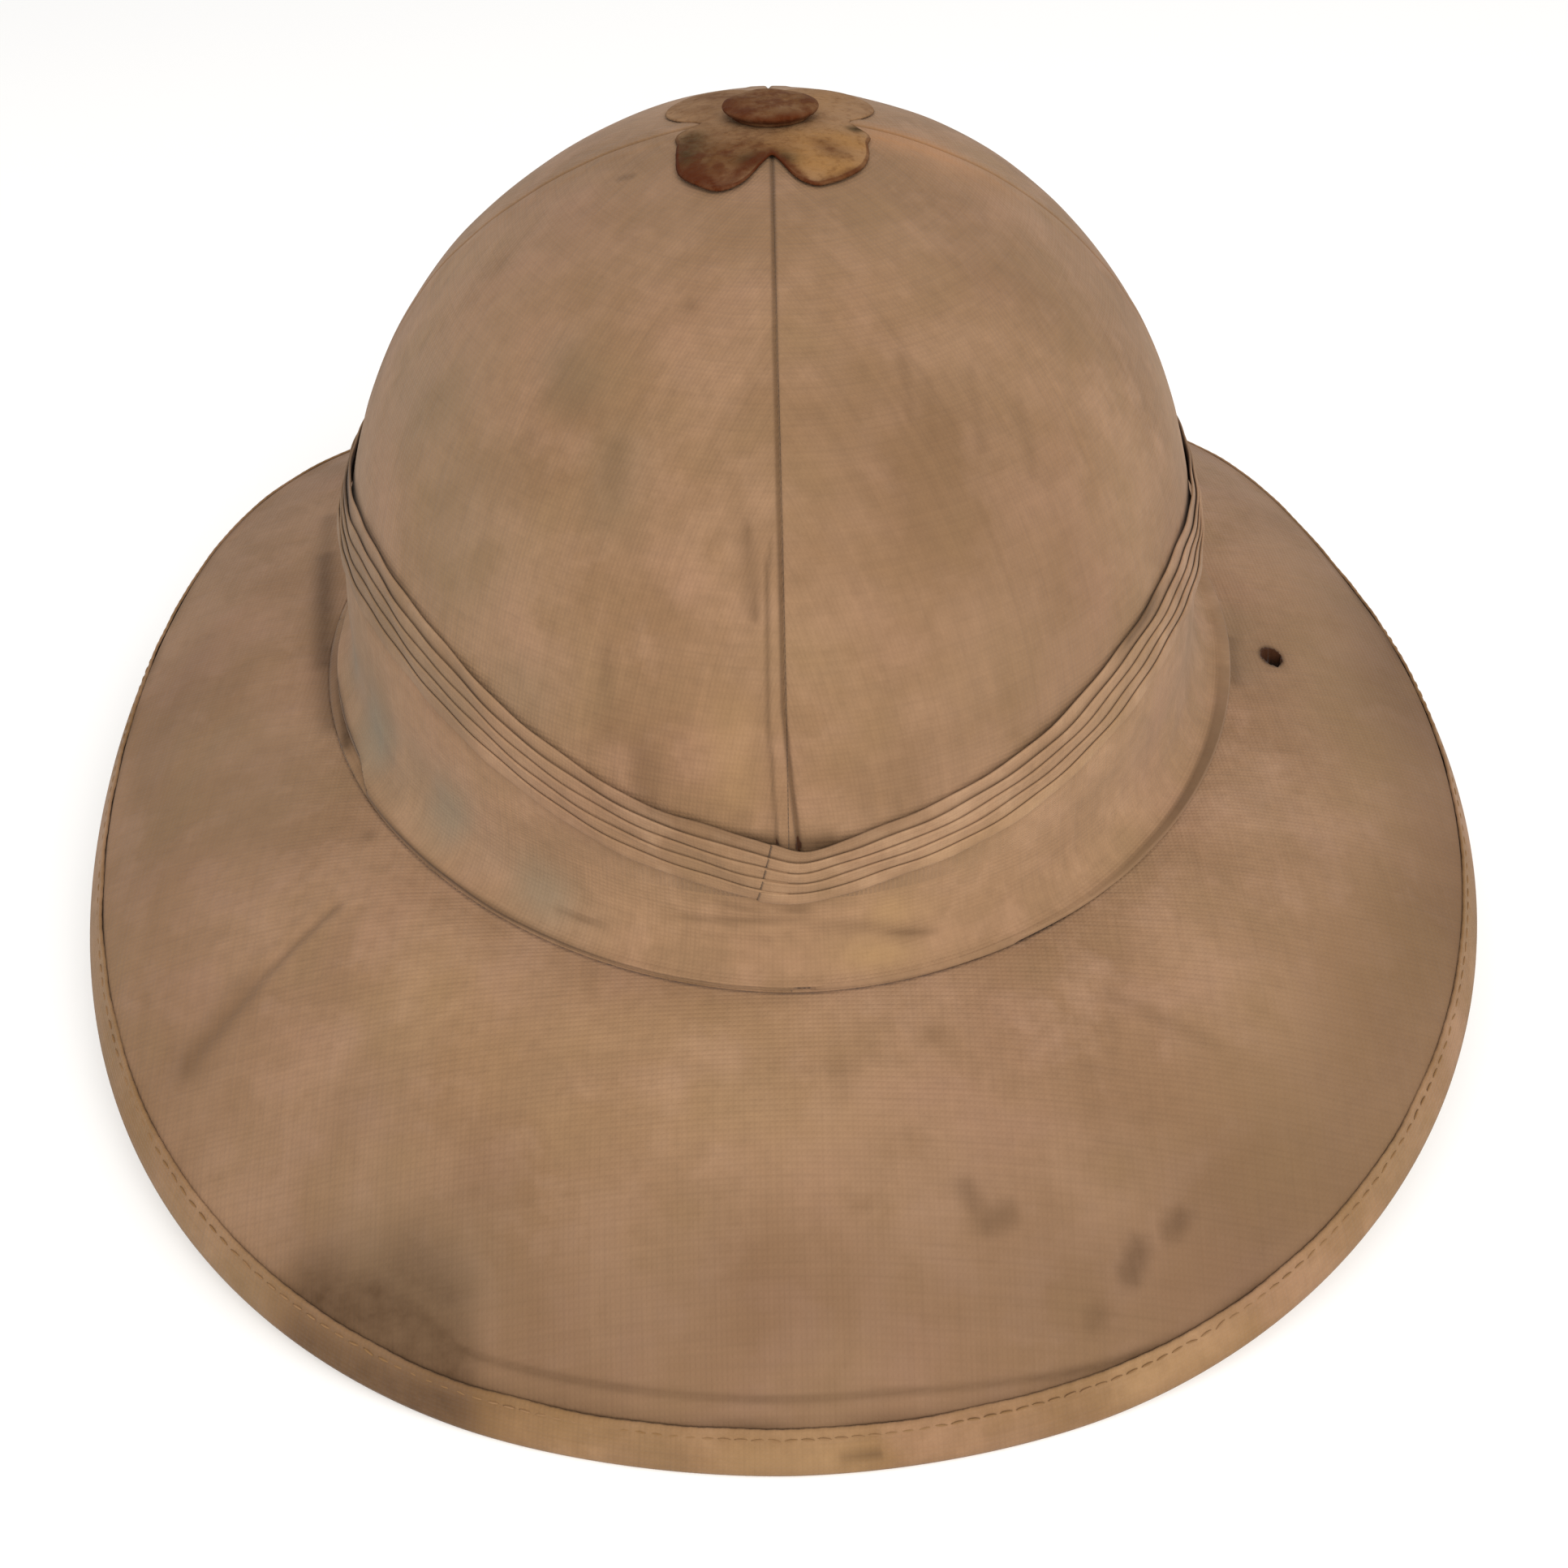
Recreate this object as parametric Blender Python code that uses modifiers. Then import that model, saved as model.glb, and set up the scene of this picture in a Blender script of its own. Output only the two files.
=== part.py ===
"""Cotton-covered pith sun helmet, standing on its brim.

Everything is in metres, +Z up.  The helmet rests on the plane z = 0 and the
middle of its outline is at the origin.  A bearing is an angle round the
helmet seen from above: 0 at the -Y end, +90 degrees at the +X side.  The -Y
end, with the longer brim, is the neck end.

The crown is a hollow egg-shaped dome whose foot flares outwards.  The brim
meets the flare edge to edge, slopes down and turns steep near its rim, where
a folded strip of cotton binds it.  A plain band hides the joint, a pleated
band lies above it, and a lobed cap with a button closes the top.
"""

import math

import bmesh
import bpy
import numpy as np

COLLECTION_NAME = "pith_helmet"
MERIDIANS = 60            # facets round the helmet
SEAT_GAP = 0.0004         # clearance between touching pieces
COTTON_THICKNESS = 0.001

# Crown: plan is a superellipse, side view a superelliptic dome.
CROWN_CENTRE = (0.0019, 0.0075)
CROWN_HALF_WIDTH = 0.095
CROWN_NECK_LENGTH = 0.110
CROWN_FACE_LENGTH = 0.1102
CROWN_NECK_POWER = 1.92
CROWN_FACE_POWER = 1.93
CROWN_FOOT_Z = 0.047
CROWN_HEIGHT = 0.1123
DOME_RADIUS_POWER = 1.889
DOME_HEIGHT_POWER = 2.464
CROWN_LEAN = -0.0001      # sideways lean halfway up the dome
PITH_THICKNESS = 0.005
CROWN_ROW_HEIGHTS = (0.030, 0.046, 0.062, 0.076, 0.088, 0.097)   # above the foot
CROWN_TOP_SHARES = (0.48, 0.355, 0.23, 0.115)   # rows near the top, as shares of the plan
# Waves in the crown's plan, fading out towards the face end:
# number of waves, cosine and sine sizes.
CROWN_WAVES = (
    (2, 0.0003, -0.0010),
    (3, -0.0002, 0.0014),
)
WAVES_FADE_FROM = math.radians(90.0)
WAVES_END_AT = math.radians(150.0)

# Flare between the crown's wall and the brim, a quarter of an ellipse.
FLARE_REACH = 0.0088
FLARE_RISE = 0.016
FLARE_STEPS = 3
BRIM_START_DROP = 0.0015  # the flare ends this far below the crown's foot

# Brim: each end has its own length and plan power.
BRIM_HALF_WIDTH = 0.1606
BRIM_NECK_LENGTH = 0.1939
BRIM_FACE_LENGTH = 0.1724
BRIM_NECK_POWER = 1.907
BRIM_FACE_POWER = 1.87
BRIM_SHIFT = -0.0022      # sideways shift of the rim
BRIM_SKEW = -0.0014       # the rim's +X side lies this far towards the neck end
BRIM_SIDE_RISE = 0.0268   # the rim at the sides above the rim at the ends
NECK_RISE_POWER = 1.2     # towards the neck end the rim drops early
FACE_RISE_POWER = 2.68    # towards the face end it stays high for longer
BRIM_FLAT_BEARING = math.radians(20.0)   # the rim lies flat within this
BRIM_DROOP_POWER = 1.8
BRIM_THICKNESS = 0.004
BRIM_ROWS = (0.0, 0.12, 0.30, 0.50, 0.70, 0.86, 1.0)
# Waves in the rim's plan, fading out like the crown's:
# number of waves, cosine and sine sizes.
RIM_WAVES = (
    (3, -0.0015, 0.0010),
    (4, -0.0054, -0.0021),
    (5, 0.0003, 0.0010),
)

# Binding: the strip's upper edge lies this far in from the rim and above it.
BINDING_REACH = 0.0042
BINDING_EXTRA_REACH = 0.0008   # added at the sides
BINDING_RISE = 0.0086
BINDING_INNER_SHARE = 0.45     # the inner leg's height as a share of that
BINDING_CHAMFER = 0.0008
BINDING_WIDTH = 0.0081         # across the folded strip at the rim
UNDER_BINDING = COTTON_THICKNESS + SEAT_GAP   # the brim's edge lies this far inside
UNDER_BINDING_DROP = 0.0006    # and this far below the binding's upper edge
BRIM_STOP_Z = 0.0042           # the pith ends this far above the rim

# Worn hole through the brim.
HOLE_BEARING = math.radians(81.3)
HOLE_FRACTION = 0.24
HOLE_HALF_SIZE = (0.0027, 0.0036, 0.012)

# Edges of the pleated band: bearing, lower and upper edge above the foot.
PLEAT_EDGES = (
    (-180.0, 0.0330, 0.0450),
    (-135.0, 0.0337, 0.0457),
    (-110.0, 0.0345, 0.0467),
    (-90.0, 0.0358, 0.0482),
    (-75.0, 0.0365, 0.0493),
    (-60.0, 0.0372, 0.0498),
    (-45.0, 0.0334, 0.0459),
    (-30.0, 0.0263, 0.0385),
    (-15.0, 0.0196, 0.0314),
    (-9.0, 0.0176, 0.0297),
    (-4.0, 0.0157, 0.0276),
    (1.5, 0.0150, 0.0251),
    (6.0, 0.0163, 0.0270),
    (10.0, 0.0178, 0.0289),
    (15.0, 0.0192, 0.0305),
    (30.0, 0.0239, 0.0365),
    (45.0, 0.0300, 0.0431),
    (60.0, 0.0330, 0.0463),
    (75.0, 0.0322, 0.0453),
    (90.0, 0.0316, 0.0444),
    (110.0, 0.0317, 0.0441),
    (135.0, 0.0323, 0.0443),
    (180.0, 0.0330, 0.0450),
)
FOLD_COUNT = 5
FOLD_GROOVE = 0.0012      # a groove's depth below its folds
PLEAT_OFFSET_TOP = 0.0022
PLEAT_OFFSET_FOOT = 0.0034
PLEAT_BACK_GAP = 0.0006   # between the crown and the back of the folds

# Plain lower band, over the flare and a little way onto the brim.
LOWER_BAND_FOOT_REACH = 0.0098
LOWER_BAND_RIGHT_REACH = 0.0018  # added at the +X side

# Cap: notches at the seams, squarish lobes between them.  Outline: bearing, radius.
CAP_OUTLINE = (
    (-180.0, 0.0165),
    (-170.0, 0.0215),
    (-160.0, 0.0265),
    (-148.0, 0.0280),
    (-135.0, 0.0265),
    (-120.0, 0.0235),
    (-106.0, 0.0185),
    (-97.0, 0.0142),
    (-90.0, 0.0132),
    (-84.0, 0.0148),
    (-78.0, 0.0176),
    (-64.0, 0.0197),
    (-52.0, 0.0229),
    (-40.0, 0.0272),
    (-30.0, 0.0290),
    (-19.0, 0.0292),
    (-12.0, 0.0264),
    (-5.0, 0.0203),
    (0.0, 0.0182),
    (4.5, 0.0202),
    (10.0, 0.0260),
    (16.0, 0.0294),
    (24.0, 0.0296),
    (34.0, 0.0278),
    (51.0, 0.0234),
    (63.0, 0.0203),
    (76.0, 0.0188),
    (83.0, 0.0164),
    (90.0, 0.0149),
    (97.0, 0.0155),
    (106.0, 0.0187),
    (120.0, 0.0235),
    (135.0, 0.0265),
    (148.0, 0.0280),
    (160.0, 0.0265),
    (170.0, 0.0215),
    (180.0, 0.0165),
)
CAP_THICKNESS = 0.0008
CAP_GAP = 0.0004
CAP_MERIDIANS = 72
CAP_ROWS = (1.0, 0.75, 0.5, 0.25)

# Button: a flat, slightly domed disc, a little wider across than along.
BUTTON_MERIDIANS = 32
BUTTON_STRETCH = (1.04, 0.92)
BUTTON_CROWN = 0.0001     # the top's middle above the outline's last row
# Outline from the foot to the top: radius, height above the cap.
BUTTON_OUTLINE = (
    (0.0078, 0.0),
    (0.0086, 0.0004),
    (0.0088, 0.0010),
    (0.0081, 0.0015),
    (0.0058, 0.0018),
    (0.0029, 0.00195),
)


def clear_scene():
    """Remove whatever the file holds."""
    for item in list(bpy.data.objects):
        bpy.data.objects.remove(item, do_unlink=True)


def bearings(count):
    """Bearings of the meridians; a facet's middle lies at bearing 0."""
    return (np.arange(count) + 0.5) * 2.0 * math.pi / count - math.pi


def waves(bearing, table):
    """Sum of the cosine and sine waves in a table, fading out towards the face end."""
    total = np.zeros_like(bearing)
    for number, cosine, sine in table:
        total += cosine * np.cos(number * bearing) + sine * np.sin(number * bearing)
    fade = np.clip((WAVES_END_AT - np.abs(bearing)) / (WAVES_END_AT - WAVES_FADE_FROM), 0.0, 1.0)
    return total * fade * fade * (3.0 - 2.0 * fade)


def end_value(bearing, neck_value, face_value):
    """Value for the half of the helmet that a bearing lies in."""
    return np.where(np.cos(bearing) > 0.0, neck_value, face_value)


def superellipse(bearing, power):
    """Radius of a unit superellipse at a bearing."""
    across = np.abs(np.sin(bearing)) ** power
    along = np.abs(np.cos(bearing)) ** power
    return (across + along) ** (-1.0 / power)


def table_curve(bearing, table, column):
    """Smooth curve round the helmet through one column of a table."""
    knots = np.radians([row[0] for row in table])
    values = np.array([row[column] for row in table])
    slopes = np.gradient(values, knots)
    slopes[0] = slopes[-1] = 0.0
    index = np.clip(np.searchsorted(knots, bearing) - 1, 0, len(knots) - 2)
    span = knots[index + 1] - knots[index]
    t = (bearing - knots[index]) / span
    return (
        values[index] * (1 + 2 * t) * (1 - t) ** 2
        + values[index + 1] * (3 - 2 * t) * t ** 2
        + slopes[index] * span * t * (1 - t) ** 2
        - slopes[index + 1] * span * t ** 2 * (1 - t)
    )


def dome_height(share):
    """Height above the foot where the dome's plan has shrunk to a share."""
    return CROWN_HEIGHT * (1.0 - share ** DOME_RADIUS_POWER) ** (1.0 / DOME_HEIGHT_POWER)


def dome_share(height):
    """Share of the plan that the dome keeps at a height above the foot."""
    level = np.clip(height / CROWN_HEIGHT, 0.0, 1.0)
    return (1.0 - level ** DOME_HEIGHT_POWER) ** (1.0 / DOME_RADIUS_POWER)


def crown_point(bearing, height, offset):
    """Point at a height above the crown's foot, offset outwards from the dome."""
    height = height + 0.0 * bearing
    share = dome_share(height)
    swell = waves(bearing, CROWN_WAVES)
    shape = superellipse(bearing, end_value(bearing, CROWN_NECK_POWER, CROWN_FACE_POWER))
    length = end_value(bearing, CROWN_NECK_LENGTH, CROWN_FACE_LENGTH)
    x = ((CROWN_HALF_WIDTH + swell) * share + offset) * shape * np.sin(bearing)
    y = -((length + swell) * share + offset) * shape * np.cos(bearing)
    x = x + CROWN_LEAN * share * (1.0 - share)
    return np.stack([x + CROWN_CENTRE[0], y + CROWN_CENTRE[1], height + CROWN_FOOT_Z], axis=-1)


def flare_point(bearing, turn, offset):
    """Point on the flare: turn 0 on the wall, 90 degrees on the brim."""
    reach = FLARE_REACH * (1.0 - math.cos(turn)) + offset * math.cos(turn)
    rise = FLARE_RISE * (1.0 - math.sin(turn)) + offset * math.sin(turn) - BRIM_START_DROP
    point = crown_point(bearing, max(rise, 0.0), reach)
    point[:, 2] = CROWN_FOOT_Z + rise
    return point


def rim_point(bearing):
    """Outermost, lowest line of the helmet."""
    length = end_value(bearing, BRIM_NECK_LENGTH, BRIM_FACE_LENGTH)
    shape = superellipse(bearing, end_value(bearing, BRIM_NECK_POWER, BRIM_FACE_POWER))
    swell = waves(bearing, RIM_WAVES)
    x = (BRIM_HALF_WIDTH * shape + swell) * np.sin(bearing) + BRIM_SHIFT
    y = -(length * shape + swell) * np.cos(bearing) + BRIM_SKEW * np.sin(bearing)
    flat = math.sin(BRIM_FLAT_BEARING) ** 2
    lift = np.clip((np.sin(bearing) ** 2 - flat) / (1.0 - flat), 0.0, 1.0)
    neck_rise = lift ** NECK_RISE_POWER
    face_rise = 1.0 - (1.0 - lift) ** FACE_RISE_POWER
    z = BRIM_SIDE_RISE * end_value(bearing, neck_rise, face_rise)
    return np.stack([x + CROWN_CENTRE[0], y + CROWN_CENTRE[1], z], axis=-1)


def rim_offset(bearing, inward, upward):
    """Point moved from the rim towards the middle of the helmet, and up."""
    point = rim_point(bearing)
    radial = point[:, :2] - np.array(CROWN_CENTRE)
    radial /= np.linalg.norm(radial, axis=1, keepdims=True)
    point[:, :2] -= radial * np.reshape(inward, (-1, 1))
    point[:, 2] += upward
    return point


def binding_reach(bearing):
    """Distance in from the rim of the binding's upper edge."""
    return BINDING_REACH + BINDING_EXTRA_REACH * np.sin(bearing) ** 2


def brim_point(bearing, fraction):
    """Top of the brim: fraction 0 at the flare, 1 under the binding's edge."""
    start = crown_point(bearing, 0.0, FLARE_REACH + SEAT_GAP)
    start[:, 2] -= BRIM_START_DROP
    inward = binding_reach(bearing) + UNDER_BINDING
    end = rim_offset(bearing, inward, BINDING_RISE - UNDER_BINDING_DROP)
    point = start + (end - start) * fraction
    point[:, 2] = start[:, 2] + (end[:, 2] - start[:, 2]) * fraction ** BRIM_DROOP_POWER
    return point


def add_object(name, vertices, faces, material, collection):
    """Make a smooth-shaded mesh object from points and faces."""
    mesh = bpy.data.meshes.new(name)
    mesh.from_pydata([tuple(point) for point in vertices], [], faces)
    mesh.materials.append(material)
    mesh.shade_smooth()
    mesh.set_sharp_from_angle(angle=math.radians(40.0))
    item = bpy.data.objects.new(name, mesh)
    collection.objects.link(item)
    return item


def ring_faces(row_count, column_count, closed):
    """Quads between neighbouring rings, listed from the lowest ring up."""
    faces = []
    for row in range(row_count if closed else row_count - 1):
        low = row * column_count
        high = (row + 1) % row_count * column_count
        for column in range(column_count):
            after = (column + 1) % column_count
            faces.append((low + column, low + after, high + after, high + column))
    return faces


def add_skin(name, rings, material, collection, bottom=None, top=None):
    """Surface through rings of points, with a pole at either end if given."""
    columns = len(rings[0])
    vertices = list(np.concatenate(rings))
    faces = ring_faces(len(rings), columns, closed=False)
    if top is not None:
        last = (len(rings) - 1) * columns
        for column in range(columns):
            faces.append((last + column, last + (column + 1) % columns, len(vertices)))
        vertices.append(top)
    if bottom is not None:
        for column in range(columns):
            faces.append(((column + 1) % columns, column, len(vertices)))
        vertices.append(bottom)
    return add_object(name, vertices, faces, material, collection)


def add_loft(name, section, material, collection):
    """Closed ring whose cross-section is a closed list of rings of points."""
    faces = ring_faces(len(section), len(section[0]), closed=True)
    return add_object(name, np.concatenate(section), faces, material, collection)


def thicken(item, thickness):
    """Give an open surface a wall on its inner side."""
    solidify = item.modifiers.new("wall", "SOLIDIFY")
    solidify.thickness = thickness
    solidify.offset = -1.0
    solidify.use_even_offset = True
    solidify.use_rim = True


def linear(hex_colour):
    """Linear RGBA of an sRGB hex colour."""
    channels = [int(hex_colour[i:i + 2], 16) / 255.0 for i in (0, 2, 4)]
    return [c / 12.92 if c <= 0.04045 else ((c + 0.055) / 1.055) ** 2.4 for c in channels] + [1.0]


def make_material(name, hex_colour, roughness, metallic=0.0):
    """Plain Principled material."""
    material = bpy.data.materials.new(name)
    material.use_nodes = True
    shader = material.node_tree.nodes["Principled BSDF"]
    shader.inputs["Base Color"].default_value = linear(hex_colour)
    shader.inputs["Roughness"].default_value = roughness
    shader.inputs["Metallic"].default_value = metallic
    return material


def make_crown(collection):
    """Hollow dome from the end of the flare to the top."""
    bearing = bearings(MERIDIANS)
    rings = []
    for step in range(FLARE_STEPS, -1, -1):
        rings.append(flare_point(bearing, 0.5 * math.pi * step / FLARE_STEPS, 0.0))
    for height in CROWN_ROW_HEIGHTS:
        rings.append(crown_point(bearing, height, 0.0))
    for share in CROWN_TOP_SHARES:
        rings.append(crown_point(bearing, dome_height(share), 0.0))
    top = (CROWN_CENTRE[0], CROWN_CENTRE[1], CROWN_FOOT_Z + CROWN_HEIGHT)
    cotton = make_material("crown_khaki_cotton", "A3815F", 0.9)
    crown = add_skin("crown_shell", rings, cotton, collection, top=top)
    thicken(crown, PITH_THICKNESS)


def make_brim(collection, cutters):
    """Sloping brim with its steep edge and the worn hole."""
    bearing = bearings(MERIDIANS)
    reach = binding_reach(bearing)
    stop_share = BRIM_STOP_Z / BINDING_RISE
    rings = [rim_offset(bearing, reach * stop_share + UNDER_BINDING, BRIM_STOP_Z)]
    for fraction in reversed(BRIM_ROWS):
        rings.append(brim_point(bearing, fraction))
    cotton = make_material("brim_khaki_cotton", "A58461", 0.9)
    brim = add_skin("brim_shell", rings, cotton, collection)
    thicken(brim, BRIM_THICKNESS)

    centre = brim_point(np.array([HOLE_BEARING]), HOLE_FRACTION)[0]
    cutter_mesh = bpy.data.meshes.new("worn_hole_cutter")
    shape = bmesh.new()
    bmesh.ops.create_cone(
        shape, cap_ends=True, segments=14, radius1=1.0, radius2=1.0, depth=2.0
    )
    bmesh.ops.scale(shape, vec=HOLE_HALF_SIZE, verts=shape.verts)
    shape.to_mesh(cutter_mesh)
    shape.free()
    cutter = bpy.data.objects.new("worn_hole_cutter", cutter_mesh)
    cutter.location = tuple(centre)
    cutter.hide_render = True
    cutter.display_type = "WIRE"
    cutters.objects.link(cutter)
    cut = brim.modifiers.new("worn_hole", "BOOLEAN")
    cut.operation = "DIFFERENCE"
    cut.solver = "EXACT"
    cut.object = cutter


def make_binding(collection):
    """Folded cotton strip round the rim, flat where the helmet stands on it."""
    bearing = bearings(MERIDIANS)
    reach = binding_reach(bearing)
    inner_reach = BINDING_WIDTH + reach * BINDING_INNER_SHARE
    rings = [
        rim_offset(bearing, inner_reach, BINDING_RISE * BINDING_INNER_SHARE),
        rim_offset(bearing, BINDING_WIDTH, BINDING_CHAMFER),
        rim_offset(bearing, BINDING_WIDTH - BINDING_CHAMFER, 0.0),
        rim_offset(bearing, BINDING_CHAMFER, 0.0),
        rim_offset(bearing, 0.0, BINDING_CHAMFER),
        rim_offset(bearing, reach, BINDING_RISE),
    ]
    cotton = make_material("binding_khaki_cotton", "8C6C49", 0.9)
    binding = add_skin("brim_edge_binding", rings, cotton, collection)
    thicken(binding, COTTON_THICKNESS)


def make_lower_band(collection):
    """Plain band from under the pleats, over the flare, onto the brim."""
    bearing = bearings(MERIDIANS)
    top = table_curve(bearing, PLEAT_EDGES, 1) - SEAT_GAP
    inside = SEAT_GAP
    outside = SEAT_GAP + COTTON_THICKNESS
    right = np.clip(np.sin(bearing), 0.0, 1.0)
    foot_reach = LOWER_BAND_FOOT_REACH + LOWER_BAND_RIGHT_REACH * right ** 2
    foot_inside = crown_point(bearing, 0.0, foot_reach)
    foot_outside = foot_inside.copy()
    foot_inside[:, 2] += inside - BRIM_START_DROP
    foot_outside[:, 2] += outside - BRIM_START_DROP
    turns = [0.5 * math.pi * step / FLARE_STEPS for step in range(FLARE_STEPS + 1)]
    section = [foot_outside]
    section += [flare_point(bearing, turn, outside) for turn in reversed(turns)]
    section.append(crown_point(bearing, top, outside + SEAT_GAP))
    section.append(crown_point(bearing, top, inside + SEAT_GAP))
    section += [flare_point(bearing, turn, inside) for turn in turns]
    section.append(foot_inside)
    cotton = make_material("lower_band_khaki_cotton", "9C8265", 0.9)
    add_loft("lower_band", section, cotton, collection)


def make_pleated_band(collection):
    """Band of narrow folds, the lower ones standing out further."""
    bearing = bearings(MERIDIANS)
    low = table_curve(bearing, PLEAT_EDGES, 1)
    high = table_curve(bearing, PLEAT_EDGES, 2)
    section = []
    for step in range(2 * FOLD_COUNT + 1):
        share = step / (2.0 * FOLD_COUNT)
        offset = PLEAT_OFFSET_FOOT + (PLEAT_OFFSET_TOP - PLEAT_OFFSET_FOOT) * share
        if step % 2 == 0:
            offset -= FOLD_GROOVE
        section.append(crown_point(bearing, low + (high - low) * share, offset))
    section.append(crown_point(bearing, high, PLEAT_BACK_GAP))
    section.append(crown_point(bearing, low, PLEAT_BACK_GAP))
    cotton = make_material("pleated_khaki_cotton", "A6886B", 0.9)
    add_loft("pleated_band", section, cotton, collection)


def cap_point(bearing, fraction):
    """Top of the cap, following the crown, at a share of its outline."""
    radius = table_curve(bearing, CAP_OUTLINE, 1) * fraction
    x = radius * np.sin(bearing)
    y = -radius * np.cos(bearing)
    share = np.hypot(x / CROWN_HALF_WIDTH, y / CROWN_NECK_LENGTH)
    z = CROWN_FOOT_Z + dome_height(share) + CAP_THICKNESS + CAP_GAP
    return np.stack([x + CROWN_CENTRE[0], y + CROWN_CENTRE[1], z], axis=-1)


def make_cap(collection):
    """Thin lobed cap piece on the crown's top."""
    bearing = bearings(CAP_MERIDIANS)
    rings = [cap_point(bearing, fraction) for fraction in CAP_ROWS]
    top = cap_point(np.zeros(1), 0.0)[0]
    metal = make_material("cap_rusted_metal", "7A5433", 0.7, 0.3)
    cap = add_skin("vent_cap", rings, metal, collection, top=top)
    thicken(cap, CAP_THICKNESS)


def make_button(collection):
    """Low button on the cap."""
    bearing = bearings(BUTTON_MERIDIANS)
    base = cap_point(np.zeros(1), 0.0)[0]
    base[2] += SEAT_GAP
    rings = []
    for radius, height in BUTTON_OUTLINE:
        x = base[0] + BUTTON_STRETCH[0] * radius * np.sin(bearing)
        y = base[1] - BUTTON_STRETCH[1] * radius * np.cos(bearing)
        z = np.full_like(x, base[2] + height)
        rings.append(np.stack([x, y, z], axis=-1))
    top = (base[0], base[1], base[2] + BUTTON_OUTLINE[-1][1] + BUTTON_CROWN)
    metal = make_material("button_rusted_metal", "5A3A22", 0.7, 0.3)
    add_skin("vent_button", rings, metal, collection, bottom=tuple(base), top=top)


def main():
    clear_scene()
    parts = bpy.data.collections.new(COLLECTION_NAME)
    cutters = bpy.data.collections.new("cutters")
    for collection in (parts, cutters):
        bpy.context.scene.collection.children.link(collection)
    make_crown(parts)
    make_brim(parts, cutters)
    make_binding(parts)
    make_lower_band(parts)
    make_pleated_band(parts)
    make_cap(parts)
    make_button(parts)


main()
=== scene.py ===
"""Looks of a cotton-covered pith sun helmet that stands on its brim.

Metres, +Z up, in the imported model's own frame.  A bearing is an angle round
the helmet seen from above: 0 at the -Y (neck) end, +90 degrees at the +X side.
Grids of points run down the outside of a piece, then up its inside, and go
round by growing bearing, so that faces point outwards.
"""

import math

import bpy
import numpy as np
from mathutils import Matrix, Vector


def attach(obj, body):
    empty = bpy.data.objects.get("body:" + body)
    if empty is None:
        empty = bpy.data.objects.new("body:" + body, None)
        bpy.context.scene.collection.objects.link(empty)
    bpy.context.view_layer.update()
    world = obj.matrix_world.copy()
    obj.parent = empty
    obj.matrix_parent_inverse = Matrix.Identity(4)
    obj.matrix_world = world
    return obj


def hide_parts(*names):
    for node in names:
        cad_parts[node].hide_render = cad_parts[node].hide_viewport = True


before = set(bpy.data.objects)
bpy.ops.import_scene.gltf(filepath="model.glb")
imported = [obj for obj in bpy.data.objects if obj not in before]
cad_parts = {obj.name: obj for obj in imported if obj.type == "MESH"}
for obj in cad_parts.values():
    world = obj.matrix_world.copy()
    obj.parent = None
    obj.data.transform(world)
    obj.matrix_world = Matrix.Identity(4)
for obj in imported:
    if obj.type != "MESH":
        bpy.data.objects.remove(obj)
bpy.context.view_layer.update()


# ---------------------------------------------------------------- crown
# The crown is an egg-shaped dome of sola pith, 5 mm thick.  Four gores of khaki cotton are
# pasted over it and joined by flat seams at the neck, the face and both sides; the neck seam
# ends in a short lap.  Its foot flares outwards to carry the brim.

MM = 0.001
CROWN_CENTRE = np.array([0.0019, 0.0075])
CROWN_HALF_WIDTH = 0.095
CROWN_NECK_LENGTH = 0.110
CROWN_FACE_LENGTH = 0.1102
CROWN_NECK_POWER = 1.92
CROWN_FACE_POWER = 1.93
CROWN_FOOT_Z = 0.047
CROWN_HEIGHT = 0.1123
CROWN_LEAN = -0.0001          # sideways lean halfway up the dome
DOME_RADIUS_POWER = 1.889
DOME_HEIGHT_POWER = 2.464
PITH_THICKNESS = 0.005
# Waves in the crown's plan, fading out towards the face end: number, cosine and sine sizes.
CROWN_WAVES = ((2, 0.0003, -0.0010), (3, -0.0002, 0.0014))
WAVES_FADE_FROM = math.radians(90.0)
WAVES_END_AT = math.radians(150.0)
FLARE_REACH = 0.0088          # the flare is a quarter of an ellipse
FLARE_RISE = 0.016
BRIM_START_DROP = 0.0015      # it ends this far below the crown's foot
CROWN_COLUMNS = 440
CROWN_ROWS = 140
CROWN_FLARE_ROWS = 12
CROWN_INSIDE_STEP = 3         # the inside keeps one row in three

# Neck seam seen from the neck: height above the foot, place of its line along X, in mm.
NECK_SEAM = ((0.0, 5.5), (24.0, 3.7), (38.0, 2.4), (51.0, 1.3), (96.0, 1.4), (113.0, 1.9))
NECK_LAP_EDGE = ((0.0, 1.2), (26.0, 0.1), (51.0, -1.0), (71.0, -0.5), (78.0, 0.9))
SEAM_DEPTH = 0.0005
SEAM_WIDTH = 0.00042
SEAM_SHADE = 0.55
SEAM_RAISE = 0.00016          # the seam's turnings under the cloth
SEAM_TURNING = 0.005          # width of the turnings
GORE_EDGE = (0.004, 0.012)    # a seam begins to show and is whole this far from the middle
LAP_RAISE = 0.00042
LAP_SHADE = 0.40
LAP_TOP = (0.070, 0.078)      # the lap fades out between these heights
CROWN_GRAIN_STREAKS = 0.03
# Unevenness of cloth pasted on pith: height, size of its lumps, seed.
CROWN_UNEVEN = ((0.00022, 0.045, 3), (0.000066, 0.014, 4))

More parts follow.
